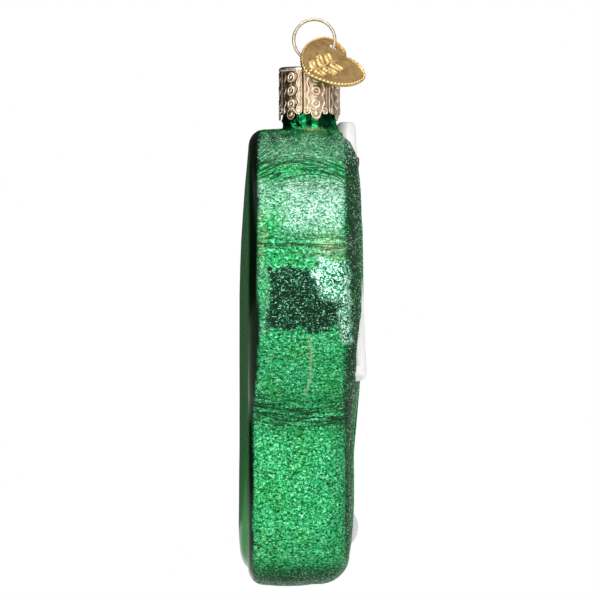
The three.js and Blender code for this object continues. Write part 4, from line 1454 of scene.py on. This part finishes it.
lens = bpy.data.cameras.new("camera")
lens.lens = lens.sensor_width * CAMERA_DISTANCE / FRAME_HEIGHT
lens.clip_start = 0.05
lens.clip_end = 20
camera = bpy.data.objects.new("camera", lens)
camera.location = AIM - Vector((CAMERA_DISTANCE, 0, 0))
camera.rotation_euler = (RIGHT_ANGLE, 0, -RIGHT_ANGLE)
bpy.context.scene.collection.objects.link(camera)
bpy.context.scene.camera = camera


# Studio

def softbox(name, place, size, power):
    """Area lamp that faces the ornament's middle and stays out of the picture."""
    lamp = bpy.data.lights.new(name, "AREA")
    lamp.shape = "RECTANGLE"
    lamp.size = size[0]
    lamp.size_y = size[1]
    lamp.energy = power
    made = bpy.data.objects.new(name, lamp)
    made.location = place
    made.rotation_euler = (AIM - Vector(place)).to_track_quat("-Z", "Y").to_euler()
    made.visible_camera = False
    bpy.context.scene.collection.objects.link(made)


def sheet(name, place, size):
    """Flat rectangle of the studio."""
    data = bpy.data.meshes.new(name)
    wide, high = size[0] / 2, size[1] / 2
    corners = [(-wide, -high, 0), (wide, -high, 0), (wide, high, 0), (-wide, high, 0)]
    data.from_pydata(corners, [], [(0, 1, 2, 3)])
    made = bpy.data.objects.new(name, data)
    made.location = place
    bpy.context.scene.collection.objects.link(made)
    return made


def card(name, place, size, tone):
    """Grey panel that only reflections see."""
    made = sheet(name, place, size)
    made.rotation_euler = (AIM - Vector(place)).to_track_quat("Z", "Y").to_euler()
    for kind in ("camera", "diffuse", "shadow", "transmission", "volume_scatter"):
        setattr(made, "visible_" + kind, False)
    material, _, shader = new_material(name)
    shader.inputs["Base Color"].default_value = (tone, tone, tone, 1)
    shader.inputs["Roughness"].default_value = 1
    shader.inputs["Specular IOR Level"].default_value = 0
    made.data.materials.append(material)


def seen_share(tree):
    """1 for the rays of the camera, of gloss and of glass, which see the white background."""
    rays = node(tree, "LightPath")
    seen = maths(tree, "MAXIMUM", rays.outputs["Is Camera Ray"], rays.outputs["Is Glossy Ray"])
    return maths(tree, "MAXIMUM", seen, rays.outputs["Is Transmission Ray"])


softbox("top_box", (-0.35, 0.05, 0.5), (0.8, 0.7), 3.8)
softbox("right_box", (-0.65, -0.16, 0.1), (0.2, 0.3), 0.5)
softbox("left_box", (-0.5, 0.45, 0.02), (0.2, 0.5), 0.9)
card("top_card", (0.5, 0.3, 0.75), (1.0, 0.7), 0.1)
card("back_card", (0.65, 0.12, 0.0), (1.0, 1.0), 0.05)
card("left_card", (0.0, 0.8, 0.0), (1.4, 1.0), 0.05)
card("right_card", (0.1, -0.8, 0.0), (1.0, 1.0), 0.4)

FLOOR_HEIGHT = -0.128
FLOOR_SIZE = 12
WORLD_LIGHT = 0.6
floor = sheet("floor", (0, 0, FLOOR_HEIGHT), (FLOOR_SIZE, FLOOR_SIZE))
floor_material, tree, shader = new_material("floor")
shader.inputs["Base Color"].default_value = (0.86, 0.86, 0.86, 1)
shader.inputs["Roughness"].default_value = 0.9
apart = node(tree, "VectorMath", {0: node(tree, "TexCoord").outputs["Object"]}, operation="LENGTH")
far = rescaled(tree, apart.outputs["Value"], 0.1, 0.3)
white = node(tree, "Emission", {"Color": (1, 1, 1, 1), "Strength": 1.0})
mixed = node(tree, "MixShader", {
    0: times(tree, seen_share(tree), far), 1: shader.outputs[0], 2: white.outputs[0]})
tree.links.new(mixed.outputs[0], tree.nodes["Material Output"].inputs["Surface"])
floor.data.materials.append(floor_material)

world = bpy.data.worlds.new("studio")
bpy.context.scene.world = world
world.use_nodes = True
tree = world.node_tree
tree.nodes.clear()
strength = rescaled(tree, seen_share(tree), 0.0, 1.0, WORLD_LIGHT, 1.0)
glow = node(tree, "Background", {"Color": (1, 1, 1, 1), "Strength": strength})
node(tree, "OutputWorld", {"Surface": glow.outputs[0]})

bpy.context.scene.view_settings.view_transform = "Standard"
